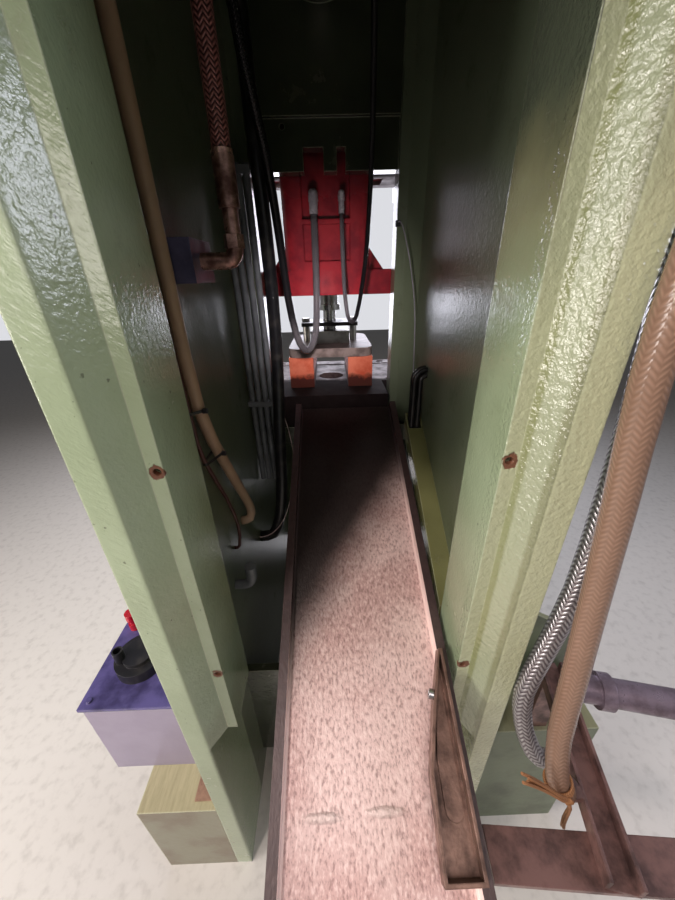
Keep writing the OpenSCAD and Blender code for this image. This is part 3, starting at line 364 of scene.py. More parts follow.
def thickPaint(tree, place, normal, outX, isOuter, isRight, look):
    # Streaks of filler under the paint, and the enamel at its thickest on the slanting faces, above all on
    # the right column, whose outer faces have orange peel too
    normal = addNode(tree, "Bump", {"Height": streaks(tree, place, *look["streakMm"]), "Strength": 1.0,
                                    "Distance": look["streakDepthMm"] / 1000.0, "Normal": normal})
    startX, endX = look["bandX"]
    before, after = look["bandSoft"]
    begun = addNode(tree, "MapRange", {"Value": outX, "From Min": startX + before,
                                       "From Max": startX + after}, interpolation_type="SMOOTHSTEP")
    ended = addNode(tree, "MapRange", {"Value": outX, "From Min": endX - after,
                                       "From Max": endX - before}, interpolation_type="SMOOTHSTEP")
    notEnded = addNode(tree, "Math", (1.0, ended), operation="SUBTRACT")
    band = addNode(tree, "Math", (begun, notEnded), operation="MULTIPLY")
    columnShare = addNode(tree, "Math", (isRight, look["bandShareLeft"]), operation="ADD", use_clamp=True)
    lumps = addNode(tree, "Math", (streaks(tree, place, *look["bandStreakMm"]), 0.5), operation="SUBTRACT")
    for factor in (isOuter, columnShare, lumps):
        band = addNode(tree, "Math", (band, factor), operation="MULTIPLY")
    peel = addNode(tree, "TexNoise", {"Vector": place, "Scale": 1000.0 / look["outerPeelMm"], "Detail": 2.0,
                                      "Roughness": 0.55}, "Fac")
    for factor in (isOuter, isRight):
        peel = addNode(tree, "Math", (peel, factor), operation="MULTIPLY")
    for height, depthMm in ((band, look["bandDepthMm"]), (peel, look["outerPeelDepthMm"])):
        normal = addNode(tree, "Bump", {"Height": height, "Strength": 1.0, "Distance": depthMm / 1000.0,
                                        "Normal": normal})
    return orangePeel(tree, place, normal, look)


def columnEnamel(name, light, dark, look):
    material, tree, shader, place = newMaterial(name)
    across = addNode(tree, "SeparateXYZ", (place,), "X")
    along = addNode(tree, "SeparateXYZ", (place,), "Y")
    outX = addNode(tree, "Math", (across,), operation="ABSOLUTE")
    isOuter = addNode(tree, "Math", (along, look["outerFromY"]), operation="GREATER_THAN")
    isRight = addNode(tree, "Math", (across, 0.0), operation="LESS_THAN")
    colour, rough = grimyGreen(tree, place, light, dark, look)
    colour = yellowedByOil(tree, place, colour, isOuter, look)
    colour = paintedShadeHigherUp(tree, place, colour, look)

    # The faces between the columns are dull with old oil, and darkened partly by grime and partly as painted
    # shade
    isInner = addNode(tree, "Math", (outX, look["innerX"]), operation="LESS_THAN")
    beforeEnd = addNode(tree, "Math", (along, look["innerToY"]), operation="LESS_THAN")
    isInner = addNode(tree, "Math", (isInner, beforeEnd), operation="MULTIPLY")
    colour = covered(tree, colour, look["sootAndShade"], isInner, look["sootAndShadeCover"])
    rough = addNode(tree, "Math", (isInner, look["sootDulls"], rough), operation="MULTIPLY_ADD")

    # The step from the pilaster to the side plate is filled and rounded far more than the other edges
    fromStep = addNode(tree, "Math", (outX, look["weldX"]), operation="SUBTRACT")
    fromStep = addNode(tree, "Math", (fromStep,), operation="ABSOLUTE")
    atStep = addNode(tree, "Math", (fromStep, look["weldReach"]), operation="LESS_THAN")
    extra = (look["weldEdgeMm"] - look["edgeMm"]) / 1000
    edge = addNode(tree, "Math", (atStep, extra, look["edgeMm"] / 1000), operation="MULTIPLY_ADD")
    normal = addNode(tree, "Bevel", {"Radius": edge}, samples=4)

    # Pale edges, on the outer faces alone: partly rubbed wear, partly a painted highlight along the rounded
    # edges
    innerEnd = look["innerToY"] + look["innerMargin"]
    nearInner = addNode(tree, "Math", (along, innerEnd), operation="LESS_THAN")
    spared = addNode(tree, "Math", (atStep, nearInner), operation="MAXIMUM")
    paleEdgeAllowed = addNode(tree, "Math", (1.0, spared), operation="SUBTRACT")
    paleEdge = addNode(tree, "Math", (edgeShare(tree, normal), paleEdgeAllowed), operation="MULTIPLY")
    colour = covered(tree, colour, look["edgeWearAndHighlight"], paleEdge, look["edgeWearAndHighlightCover"])
    normal = thickPaint(tree, place, normal, outX, isOuter, isRight, look)

    # Chips down to the rusty casting, a little below the paint round them
    bare = rustyChips(tree, place, look)
    rustNoise = addNode(tree, "TexNoise", {"Vector": place, "Scale": 1000.0 / look["rustMm"], "Detail": 3.0,
                                           "Roughness": 0.55}, "Fac")
    rust = addNode(tree, "Mix", {0: rustNoise, 6: look["rust"], 7: look["rustLight"]}, 2, data_type="RGBA")
    colour = addNode(tree, "Mix", {0: bare, 6: colour, 7: rust}, 2, data_type="RGBA")
    rough = addNode(tree, "Math", (bare, look["rustDulls"], rough), operation="MULTIPLY_ADD", use_clamp=True)
    painted = addNode(tree, "Math", (1.0, bare), operation="SUBTRACT")
    normal = addNode(tree, "Bump", {"Height": painted, "Strength": 1.0,
                                    "Distance": look["chipDepthMm"] / 1000.0, "Normal": normal})
    glossOver(tree, shader, colour, rough, normal, look)
    return material


# Enamel rubbed by boots down to a film with brush strokes along Y on top, browned by oil on the sides. The
# top is also painted lighter, and the sides darker, as light falling from above
footLook = {
    "strokeMm": 9.0,
    "strokeStretch": (1.0, 0.12, 1.0),
    "stroke": "#827b5e",
    "patchMm": 120.0,
    "edgeMm": 4.0,
    # Pale rounded edges: partly wear, partly a painted highlight
    "edgeWearAndHighlight": "#dfe6c8",
    "edgeWearAndHighlightCover": 0.6,
    "lumpsMm": 14.0,
    "lumpDepthMm": 0.4,
    "roughness": 0.36,
}


def footEnamel(name, top, side, low, look=footLook):
    material, tree, shader, place = newMaterial(name)
    brushed = addNode(tree, "VectorMath", (place, look["strokeStretch"]), operation="MULTIPLY")
    strokes = addNode(tree, "TexNoise", {"Vector": brushed, "Scale": 1000.0 / look["strokeMm"], "Detail": 5.0,
                                         "Roughness": 0.7}, "Fac")
    topColour = addNode(tree, "Mix", {0: strokes, 6: top, 7: look["stroke"]}, 2, data_type="RGBA")
    patches = blotches(tree, place, look["patchMm"], detail=5.0, low=0.4, high=0.65)
    sideColour = addNode(tree, "Mix", {0: patches, 6: side, 7: low}, 2, data_type="RGBA")
    # Top and sides: wear and oil, and the top painted lighter as light from above
    colour = addNode(tree, "Mix", {0: facingUp(tree), 6: sideColour, 7: topColour}, 2, data_type="RGBA")
    rounded = addNode(tree, "Bevel", {"Radius": look["edgeMm"] / 1000.0}, samples=4)
    # Pale edges: partly wear, partly a painted highlight along the rounded edges
    colour = covered(tree, colour, look["edgeWearAndHighlight"], edgeShare(tree, rounded), look["edgeWearAndHighlightCover"])
    normal = lumpy(tree, place, rounded, look["lumpsMm"], look["lumpDepthMm"])
    fillInputs(tree, shader, {"Base Color": colour, "Roughness": look["roughness"], "Normal": normal})
    return material


# What the plainer finishes have in common, with pattern sizes in millimetres
plainLook = {
    "wornPatchMm": 35.0,
    "wornEdgeMm": 2.0,
    "enamelPatchMm": 60.0,
    "stainMm": 45.0,
    "stainDulls": 0.2,
    "dust": "#6c665e",
    "dustMm": 30.0,
    "dustCover": 0.25,
    "dustyEdgeMm": 1.0,
}


def wornSteel(name, top, side, low, roughness, metallic, look=plainLook):
    # One tone on top, another on the sides
    material, tree, shader, place = newMaterial(name)
    patches = blotches(tree, place, look["wornPatchMm"], detail=5.0, low=0.4, high=0.65)
    sideColour = addNode(tree, "Mix", {0: patches, 6: side, 7: low}, 2, data_type="RGBA")
    topColour = addNode(tree, "Mix", {0: patches, 6: top, 7: low}, 2, data_type="RGBA")
    colour = addNode(tree, "Mix", {0: facingUp(tree), 6: sideColour, 7: topColour}, 2, data_type="RGBA")
    normal = addNode(tree, "Bevel", {"Radius": look["wornEdgeMm"] / 1000.0}, samples=4)
    fillInputs(tree, shader, {"Base Color": colour, "Roughness": roughness, "Metallic": metallic,
                              "Normal": normal})
    return material


def glossEnamel(name, light, dark, roughness, edgeMm=2.0, lumpMm=14.0, depthMm=0.4, oily=None):
    material, tree, shader, place = newMaterial(name)
    patches = blotches(tree, place, plainLook["enamelPatchMm"], detail=4.0, low=0.35, high=0.7)
    colour = addNode(tree, "Mix", {0: patches, 6: light, 7: dark}, 2, data_type="RGBA")
    rough = roughness
    if oily:
        colour, rough = oilyPast(tree, place, colour, rough, *oily)
    rounded = addNode(tree, "Bevel", {"Radius": edgeMm / 1000.0}, samples=4)
    normal = lumpy(tree, place, rounded, lumpMm, depthMm)
    fillInputs(tree, shader, {"Base Color": colour, "Roughness": rough, "Normal": normal})
    return material


def bareMetal(name, light, dark, roughness, metallic=1.0, grainMm=6.0, depthMm=0.08, edgeMm=1.0, oily=None):
    material, tree, shader, place = newMaterial(name)
    stain = blotches(tree, place, plainLook["stainMm"], detail=5.0, low=0.35, high=0.7, roughness=0.65)
    colour = addNode(tree, "Mix", {0: stain, 6: light, 7: dark}, 2, data_type="RGBA")
    rough = addNode(tree, "Math", (stain, plainLook["stainDulls"], roughness), operation="MULTIPLY_ADD")
    if oily:
        colour, rough = oilyPast(tree, place, colour, rough, *oily)
    rounded = addNode(tree, "Bevel", {"Radius": edgeMm / 1000.0}, samples=4)
    normal = lumpy(tree, place, rounded, grainMm, depthMm, detail=4.0)
    fillInputs(tree, shader, {"Base Color": colour, "Roughness": rough, "Metallic": metallic,
                              "Normal": normal})
    return material


# Chute: rolled sheet steel, worn leathery by the parts that slide down it. Fine flecks drawn out along it
# catch the light. A painted shadow of the left column and the crown blackens it beyond a slanting line
# towards its far end, with oil at the very end, and two scuffs lie near its mouth.
# Its rails are dark with a bright rubbed edge. The real flecks are under 1 mm wide, and are drawn at 4 mm so
# that they show.
chuteLook = {
    "base": "#cfaba6",
    "pale": "#e2c6c1",
    "paleMm": 150.0,
    "fleck": "#f6e0da",
    "fleckCover": 0.6,
    "pit": "#8a6a66",
    "pitCover": 0.6,
    "oil": "#15100f",
    "leastLitAndClean": 0.03,
    "metallic": 0.15,
    "roughness": 0.4,
    "edgeMm": 1.0,
    "fleckMm": 4.4,
    "fleckStretch": (1.0, 0.5, 0.5),
    "fleckFrom": (0.5, 0.68),
    "pitTo": (0.32, 0.5),
    "reliefMm": 0.7,
    "middleX": -0.042,
    "floorHalf": 0.1375,
    "rail": "#35282b",
    "railPale": "#574543",
    "railMm": 14.0,
    "rubbedWidth": 0.0035,
    # The painted shadow's slanting edge, cast by the left column
    "oilLine": (0.36, 1.436),      # the line's Y at X = 0, and how fast Y grows with X
    # Painted shadow of the crown, and oil, beyond this Y
    "oilFromY": 0.12,
    "oilSoft": (-0.07, 0.13),
    "oilStrayMm": 90.0,
    "oilStray": 0.06,
    "scuffs": [(-0.059, 0.713, 0.61), (0.035, 0.716, 0.6085)],
    "scuffStretch": (28.0, 150.0, 60.0),
    "scuffSoft": (0.8, 1.5),       # in stretched metres from the scuff's middle
    "scuffRaggedMm": 9.0,
    "scuffRagged": 0.5,
    "scuffed": "#efdfd8",
    "scuffCover": 0.5,
    "scuffDepthMm": 2.2,
}


def scuffMarks(tree, place, look):
    noise = addNode(tree, "TexNoise", {"Vector": place, "Scale": 1000.0 / look["scuffRaggedMm"],
                                       "Detail": 3.0, "Roughness": 0.55}, "Fac")
    low, high = look["scuffSoft"]
    scuffed = None
    for point in look["scuffs"]:
        away = awayFrom(tree, place, point, look["scuffStretch"])
        away = addNode(tree, "Math", (noise, look["scuffRagged"], away), operation="MULTIPLY_ADD")
        beyond = addNode(tree, "MapRange", {"Value": away, "From Min": low, "From Max": high},
                         interpolation_type="SMOOTHSTEP")
        mark = addNode(tree, "Math", (1.0, beyond), operation="SUBTRACT")
        if scuffed is not None:
            mark = addNode(tree, "Math", (scuffed, mark), operation="MAXIMUM")
        scuffed = mark
    return scuffed


def outOfShadowAndOil(tree, place, look):
    # Painted shadow, with oil at the far end: 1 where lit and clean. The nearer of the slanting shadow edge
    # and the far limit decides
    across = addNode(tree, "SeparateXYZ", (place,), "X")
    along = addNode(tree, "SeparateXYZ", (place,), "Y")
    lineY, lineSlope = look["oilLine"]
    slant = addNode(tree, "Math", (across, lineSlope), operation="MULTIPLY")
    slanted = addNode(tree, "Math", (along, slant), operation="SUBTRACT")
    pastLine = addNode(tree, "Math", (slanted, lineY), operation="SUBTRACT")
    pastLimit = addNode(tree, "Math", (along, look["oilFromY"]), operation="SUBTRACT")
    past = addNode(tree, "Math", (pastLine, pastLimit), operation="MINIMUM")
    stray = wander(tree, place, look["oilStrayMm"], look["oilStray"])
    past = addNode(tree, "Math", (past, stray), operation="ADD")
    low, high = look["oilSoft"]
    litAndClean = addNode(tree, "MapRange", {"Value": past, "From Min": low, "From Max": high},
                    interpolation_type="SMOOTHSTEP")
    least = look["leastLitAndClean"]
    return addNode(tree, "Math", (litAndClean, 1.0 - least, least), operation="MULTIPLY_ADD")


def chuteSteel(name, look):
    material, tree, shader, place = newMaterial(name)
    drawn = addNode(tree, "VectorMath", (place, look["fleckStretch"]), operation="MULTIPLY")
    flecks = addNode(tree, "TexNoise", {"Vector": drawn, "Scale": 1000.0 / look["fleckMm"], "Detail": 2.5,
                                        "Roughness": 0.6}, "Fac")
    low, high = look["fleckFrom"]
    bright = addNode(tree, "MapRange", {"Value": flecks, "From Min": low, "From Max": high},
                     interpolation_type="SMOOTHSTEP")
    low, high = look["pitTo"]
    notDark = addNode(tree, "MapRange", {"Value": flecks, "From Min": low, "From Max": high},
                      interpolation_type="SMOOTHSTEP")
    dark = addNode(tree, "Math", (1.0, notDark), operation="SUBTRACT")
    wide = blotches(tree, place, look["paleMm"], detail=2.0, low=0.35, high=0.65)
    colour = addNode(tree, "Mix", {0: wide, 6: look["base"], 7: look["pale"]}, 2, data_type="RGBA")
    colour = covered(tree, colour, look["fleck"], bright, look["fleckCover"])
    colour = covered(tree, colour, look["pit"], dark, look["pitCover"])
    scuffed = scuffMarks(tree, place, look)
    colour = covered(tree, colour, look["scuffed"], scuffed, look["scuffCover"])
    # Painted shadow and oil: black beyond the shadow's edge towards the far end
    litAndClean = outOfShadowAndOil(tree, place, look)
    colour = addNode(tree, "Mix", {0: litAndClean, 6: look["oil"], 7: colour}, 2, data_type="RGBA")

    # Rails, with the rubbed edge where they meet the floor; under the painted shadow that edge goes dark too
    across = addNode(tree, "SeparateXYZ", (place,), "X")
    fromMiddle = addNode(tree, "Math", (across, look["middleX"]), operation="SUBTRACT")
    fromMiddle = addNode(tree, "Math", (fromMiddle,), operation="ABSOLUTE")
    edgeStart = look["floorHalf"] - look["rubbedWidth"]
    onRail = addNode(tree, "Math", (fromMiddle, edgeStart), operation="GREATER_THAN")
    beyondEdge = addNode(tree, "Math", (fromMiddle, look["floorHalf"] + 0.0002), operation="GREATER_THAN")
    railNoise = addNode(tree, "TexNoise", {"Vector": place, "Scale": 1000.0 / look["railMm"], "Detail": 4.0,
                                           "Roughness": 0.55}, "Fac")
    railTones = {0: railNoise, 6: look["rail"], 7: look["railPale"]}
    railColour = addNode(tree, "Mix", railTones, 2, data_type="RGBA")
    edgeColour = addNode(tree, "Mix", {0: litAndClean, 6: look["rail"], 7: look["fleck"]}, 2, data_type="RGBA")
    colour = addNode(tree, "Mix", {0: onRail, 6: colour, 7: edgeColour}, 2, data_type="RGBA")
    colour = addNode(tree, "Mix", {0: beyondEdge, 6: colour, 7: railColour}, 2, data_type="RGBA")

    normal = addNode(tree, "Bevel", {"Radius": look["edgeMm"] / 1000.0}, samples=4)
    for height, depthMm in ((flecks, look["reliefMm"]), (scuffed, look["scuffDepthMm"])):
        normal = addNode(tree, "Bump", {"Height": height, "Strength": 1.0, "Distance": depthMm / 1000.0,
                                        "Normal": normal})
    fillInputs(tree, shader, {"Base Color": colour, "Roughness": look["roughness"],
                              "Metallic": look["metallic"], "Normal": normal})
    return material


# Braided sleeves. Bundles of strands lie in columns along the hose and lean left and right by turns, each
# several wires wide, since single wires are too fine to show. The pattern follows the hose's own UV map, in
# which u goes once round the hose and v counts its girths along it.
braidLook = {
    "dirtMm": 50.0,
    "dirtCover": 0.35,
    # Black beyond darkAfter girths: painted shade where a hose climbs into the dark crown
    "oilBlack": "#101014",
    "oilCover": 0.94,
    "oilSoftGirths": 1.5,
}


def braid(name, strandLight, strandDark, roughness, metallic, strands, depthMm, softCoat=0.0,
          darkAfter=None, upright=None, look=braidLook):
    material, tree, shader, place = newMaterial(name)
    if upright:
        # A straight upright hose of the CAD has no UV map: its turn and height come from its own axis
        axisX, axisY, radius = upright
        fromX = addNode(tree, "SeparateXYZ", (place,), "X")
        fromX = addNode(tree, "Math", (fromX, axisX), operation="SUBTRACT")
        fromY = addNode(tree, "SeparateXYZ", (place,), "Y")
        fromY = addNode(tree, "Math", (fromY, axisY), operation="SUBTRACT")
        turn = addNode(tree, "Math", (fromY, fromX), operation="ARCTAN2")
        turn = addNode(tree, "Math", (turn, 2 * math.pi), operation="DIVIDE")
        around = addNode(tree, "Math", (turn, 0.5), operation="ADD")
        girths = addNode(tree, "SeparateXYZ", (place,), "Z")
        girths = addNode(tree, "Math", (girths, 2 * math.pi * radius), operation="DIVIDE")
    else:
        uv = addNode(tree, "TexCoord", output="UV")
        around = addNode(tree, "SeparateXYZ", (uv,), "X")
        girths = addNode(tree, "SeparateXYZ", (uv,), "Y")
    columns = addNode(tree, "Math", (around, round(strands / 2)), operation="MULTIPLY")
    columns = addNode(tree, "Math", (columns,), operation="FRACT")
    fromSeam = addNode(tree, "Math", (columns, 0.5), operation="SUBTRACT")
    fromSeam = addNode(tree, "Math", (fromSeam,), operation="ABSOLUTE")
    lean = addNode(tree, "Math", (fromSeam, 2.0), operation="MULTIPLY")
    along = addNode(tree, "Math", (girths, strands, lean), operation="MULTIPLY_ADD")
    along = addNode(tree, "Math", (along, 2 * math.pi), operation="MULTIPLY")
    wave = addNode(tree, "Math", (along,), operation="SINE")
    wave = addNode(tree, "Math", (wave, 0.5, 0.5), operation="MULTIPLY_ADD")
    seam = addNode(tree, "Math", (lean, math.pi), operation="MULTIPLY")
    seam = addNode(tree, "Math", (seam,), operation="SINE")
    seam = addNode(tree, "Math", (seam, 0.5, 0.5), operation="MULTIPLY_ADD")
    relief = addNode(tree, "Math", (wave, seam), operation="MULTIPLY")
    strength = addNode(tree, "Math", (relief, 1.0 - softCoat), operation="MULTIPLY")
    colour = addNode(tree, "Mix", {0: strength, 6: strandDark, 7: strandLight}, 2, data_type="RGBA")
    dirt = blotches(tree, place, look["dirtMm"], detail=4.0, low=0.4, high=0.7)
    colour = covered(tree, colour, strandDark, dirt, look["dirtCover"])
    if darkAfter is not None:
        # Beyond so many girths from its fitting the hose is painted black, as shade where it climbs into the
        # dark crown
        black = addNode(tree, "MapRange", {"Value": girths, "From Min": darkAfter,
                                           "From Max": darkAfter + look["oilSoftGirths"]},
                        interpolation_type="SMOOTHSTEP")
        colour = covered(tree, colour, look["oilBlack"], black, look["oilCover"])
    normal = addNode(tree, "Bump", {"Height": relief, "Strength": 1.0, "Distance": depthMm / 1000.0})
    fillInputs(tree, shader, {"Base Color": colour, "Roughness": roughness, "Metallic": metallic,
                              "Normal": normal})
    return material


def dustySurface(name, colour, roughness, look=plainLook):
    material, tree, shader, place = newMaterial(name)
    patches = blotches(tree, place, look["dustMm"], detail=5.0, low=0.45, high=0.8)
    colour = covered(tree, colour, look["dust"], patches, look["dustCover"])
    normal = addNode(tree, "Bevel", {"Radius": look["dustyEdgeMm"] / 1000.0}, samples=4)
    fillInputs(tree, shader, {"Base Color": colour, "Roughness": roughness, "Metallic": 0.0,
                              "Normal": normal})
    return material


# Darkening on a piece: the axis, the place where it begins, how softly (with the sign of its side), and its
# tone
finishes = {
    # Brushed green enamel over filler: the lumpy, grimy gloss of the two columns, rusted round the screws
    "columnEnamel": columnEnamel("lumpyBrushedEnamel", "#a3b394", "#8b9a7a", {**enamelLook, **columnLook}),
    # The same paint, sprayed on the flat walls: cleaner and a little darker
    "wallEnamel": greenEnamel("sprayedGreenEnamel", "#93a384", "#788867"),
    # The same paint in the crown and the bed, painted nearly black as shade, so that the inside stays deep
    "paintedShadeEnamel": greenEnamel("oilDarkenedEnamel", "#4a5142", "#33382c"),
    # Enamel rubbed through by boots: a yellowish brushed top, painted lighter as lit from above, with brown
    # sides
    "footEnamel": footEnamel("rubbedFootEnamelLitTop", "#cfc9a4", "#868470", "#756a56"),
    # The same on the other foot, where more of the green is left: a light green top and darker green sides,
    # as painted light from above
    "footGreen": footEnamel("greenFootEnamelLitTop", "#a3ab8a", "#6f7c62", "#535d47"),
    # Yellow-green enamel on the folded sheet duct: a warm line beside the chute
    "ductEnamel": greenEnamel("yellowGreenEnamel", "#8f9060", "#6f7048"),
    # Red enamel on the slide's rough casting: wet-looking, with broad waves, darker towards its top as
    # painted shade where it rises into the crown
    "redEnamel": glossEnamel("redCastingEnamel", "#9f2c34", "#7a222c", roughness=0.2, edgeMm=6.0, lumpMm=22.0,
                             depthMm=1.2, oily=("Z", 1.45, 0.45, "#2e1419")),
    # Orange-red enamel on the milled parallels: dull, the brightest spot at the die, darker at the foot
    "orangeEnamel": glossEnamel("orangeToolEnamel", "#f08a6c", "#d85a3c", roughness=0.45,
                                oily=("Z", 1.058, -0.014, "#3a2422")),
    # Satin enamel of the motor and the conduits: quiet grey that keeps to the dark
    "greyEnamel": glossEnamel("greySatinEnamel", "#6d7276", "#54585c", roughness=0.38),
    # Smooth enamel of the sheet tank: pale grey, its lavender tint a painted lilac reflection, with only
    # slight waves
    "tankGrey": glossEnamel("smoothTankEnamel", "#9b92a9", "#958ca3", roughness=0.3, edgeMm=3.0, lumpMm=30.0,
                            depthMm=0.25),
    # Blue-black enamel of the tank's lid, lifted towards violet as a painted purple sheen: glossy, in soft
    # patches
    "lidBlue": glossEnamel("blueBlackEnamel", "#5f5890", "#37325c", roughness=0.2, edgeMm=3.0),
    # Blue-grey enamel of the valve box: a cool dark block against the green wall
    "boxEnamel": glossEnamel("blueGreyEnamel", "#565773", "#35344a", roughness=0.3),
    # Ground steel under a film of oil: pale, with soft stained reflections
    "machined": bareMetal("oiledGroundSteel", "#b9b6b0", "#8f8a84", roughness=0.28),
    # Turned steel of shafts and punch: the cleanest metal of all
    "shaftSteel": bareMetal("turnedSteel", "#c9c7c4", "#a4a19c", roughness=0.2),
    # Hardened tool steel, blackened: a dark plate under the punch
    "darkTool": bareMetal("blackenedToolSteel", "#4c4a4a", "#2f2d2e", roughness=0.35),
    # Planed bolster: brownish, and nearly black towards the back
    "bolster": bareMetal("oilyPlanedSteel", "#756767", "#463c3d", roughness=0.6, metallic=0.15,
                         oily=("Y", -0.315, 0.03, "#1a1212")),
    # Milled die shoe, worn: dark on top and pale at its rubbed sides
    "shoeSteel": wornSteel("wornMilledSteel", "#5a4c4a", "#a3948e", "#756864", roughness=0.5, metallic=0.2),
    # Nickel-plated hose fittings: two bright dots on the red slide
    "nickel": bareMetal("brightNickelPlate", "#e2dfe4", "#a19da4", roughness=0.2, metallic=0.5),
    # Zinc-plated screws: small cold glints
    "zinc": bareMetal("brightZincPlate", "#cfd0d2", "#a5a6a8", roughness=0.22),
    # Cast bronze bushes: dull brown rings round the shaft
    "bronze": bareMetal("dullCastBronze", "#8c7a5c", "#5f503a", roughness=0.4),
    # Cast iron of flywheel and rod: dark and grainy under oil
    "castIron": bareMetal("oiledCastIron", "#47484b", "#2e2f31", roughness=0.42, metallic=0.7, grainMm=3.0,
                          depthMm=0.3),
    # Brass pipe and unions, drawn and oiled: pinkish, with dark stains that cut the highlights
    "pinkBrass": bareMetal("oiledDrawnBrass", "#dcb0a4", "#5c3f38", roughness=0.2, metallic=0.7),
    # Hot-rolled channel soaked in oil: brown, with long dull highlights along its edges
    "trayBrown": bareMetal("oilBrownRolledSteel", "#86695c", "#4a362e", roughness=0.3, metallic=0.4,
                           grainMm=8.0, depthMm=0.5, edgeMm=2.0),
    # The same steel of the cross bar and the outer channel: a little pinker and paler
    "oilySteel": bareMetal("oilSoakedRolledSteel", "#93716b", "#54403d", roughness=0.3, metallic=0.4,
                           grainMm=8.0, depthMm=0.4, edgeMm=2.0),
    # Cold-drawn round bar: greyer and smoother than the channels beside it
    "barSteel": bareMetal("greyDrawnSteel", "#908290", "#64565f", roughness=0.27, metallic=0.5, grainMm=5.0,
                          depthMm=0.2, edgeMm=2.0),
    # Sheared strip offcut: raw, brownish and dull
    "rawStrip": bareMetal("rawShearedSteel", "#b08e78", "#7c5e4e", roughness=0.45, metallic=0.4),
    # The chute's worn sheet steel, described above
    "chute": chuteSteel("leatheryRolledSteel", chuteLook),
    # Extruded rubber sheath of belts and cables: black, with a narrow highlight down its length
    "rubber": dustySurface("blackExtrudedRubber", "#17171a", roughness=0.3),
    # Moulded nylon of filler cap and ties: black and a little duller
    "plastic": dustySurface("blackMouldedNylon", "#1a1a1f", roughness=0.38),
    # Moulded ABS buttons and indicator: clean signal red
    "redPlastic": dustySurface("redMouldedAbs", "#b4122a", roughness=0.25),
    # Extruded nylon tube: a thin dark red line beside the tan hose
    "maroonTube": dustySurface("maroonNylonTube", "#4a2420", roughness=0.3),
    # Extruded PVC sheath of the clip's cable: a thin grey line on the wall
    "greyCable": dustySurface("greyPvcCable", "#9a98a2", roughness=0.35),
    # Extruded nylon tube: the thinnest line, a pinkish thread before the dark
    "paleTube": dustySurface("paleNylonTube", "#d8c2c0", roughness=0.3),
    # Extruded rubber hose, dusty: a matt tan line down the left wall
    "tanRubber": dustySurface("tanExtrudedRubber", "#a98f76", roughness=0.42),
    # Woven textile sleeve under a soft clear coat: the chevrons only just show
    "tanBraid": braid("tanWovenSleeve", "#9c7f6d", "#7d6353", roughness=0.22, metallic=0.0,
                      strands=14.0, depthMm=0.3, softCoat=0.35),
    # Woven steel wire sleeve: bright crossed strands with dark gaps
    "steelBraid": braid("wovenSteelWire", "#d6d4d6", "#6c6468", roughness=0.32, metallic=0.75,
                        strands=11.0, depthMm=0.7),
    # The same wire under oil: duller, and painted black as shade beyond the first few girths, where it climbs
    # into the crown
    "slideBraid": braid("oiledSteelWire", "#b4b1b6", "#4b464c", roughness=0.22, metallic=0.5,
                        strands=11.0, depthMm=0.5, darkAfter=6.5),
    # Woven copper wire sleeve on the riser: pink strands that glint in the dark of the crown
    "redBraid": braid("wovenCopperWire", "#d08c86", "#3c2022", roughness=0.3, metallic=0.2,
                      strands=14.0, depthMm=0.9, upright=(0.138, 0.33, 0.013)),
    # Twisted hemp string: matt orange-brown with coarse strands
    "hemp": braid("twistedHempString", "#c08a5c", "#7d5230", roughness=0.7, metallic=0.0,
                  strands=4.0, depthMm=0.4),
}

# Which finish each piece of the press gets
pieceFinish = {
    "columnEnamel": ["side_plate_left", "side_plate_right"],
    "wallEnamel": ["bed_front_plate", "crown_front_plate", "crown_top_plate", "rear_bearing_plate",
                   "front_feet", "flywheel_guard", "motor_base", "control_box"],
    "paintedShadeEnamel": ["bed_plate", "lower_cross_plate", "crown_rear_wall"],
    "footEnamel": ["foot_rear_right"],
    "footGreen": ["foot_rear_left"],
    "ductEnamel": ["cable_duct"],
    "bolster": ["bolster_plate", "slide_gibs"],
    "machined": ["die_block", "guide_posts"],
    "shoeSteel": ["die_shoe"],
    "nickel": ["slide_hose_fittings"],
    "shaftSteel": ["eccentric_shaft", "punch_stem", "adjusting_screw"],
    "darkTool": ["stripper_plate"],
    "redEnamel": ["slide_casting"],
    "orangeEnamel": ["die_parallels"],
    "zinc": ["fasteners"],
    "bronze": ["shaft_bushes"],
    "pinkBrass": ["valve_pipe"],
    "castIron": ["clutch_disc", "flywheel", "connecting_rod", "motor_pulley"],
    "greyEnamel": ["motor", "wall_conduits"],
    "rubber": ["v_belts", "hanging_bundle", "arch_conduits"],
    "chute": ["chute_pan"],
    "oilySteel": ["cross_bar", "outer_channel", "bar_bracket"],
    "trayBrown": ["chute_channel"],
    "barSteel": ["round_bar"],
    "tankGrey": ["oil_tank"],
    "lidBlue": ["tank_lid"],
    "plastic": ["filler_cap"],
    "boxEnamel": ["valve_box"],
    "redPlastic": ["level_indicator", "palm_button_left", "palm_button_right"],
    "redBraid": ["braided_riser"],
    "tanRubber": ["tan_hose"],
    "maroonTube": ["maroon_line"],
    "steelBraid": ["slide_hose_thick", "slide_hose_thin", "outer_hose_silver"],
    "tanBraid": ["outer_hose_brown"],
}


def dressPieces():
    for finish, names in pieceFinish.items():
        for name in names:
            mesh = nodes[name].data
            mesh.materials.clear()
            mesh.materials.append(finishes[finish])


dressPieces()
print("materials on", len(nodes), "pieces")


# Hoses and cables. A route is the middle line from end to end, in millimetres.
def smoothRoute(points, stepMm=8.0):
    # One smooth curve through the route's points, with a point every few millimetres
    ends = [2 * points[0] - points[1]] + points + [2 * points[-1] - points[-2]]
    line = []
    for before, start, end, after in zip(ends, ends[1:], ends[2:], ends[3:]):
        count = max(2, round((end - start).length / stepMm))
        for i in range(count):
            t = i / count
            line.append(0.5 * (2 * start + (end - before) * t
                               + (2 * before - 5 * start + 4 * end - after) * t * t
                               + (3 * start - before - 3 * end + after) * t ** 3))
    return line + [points[-1]]


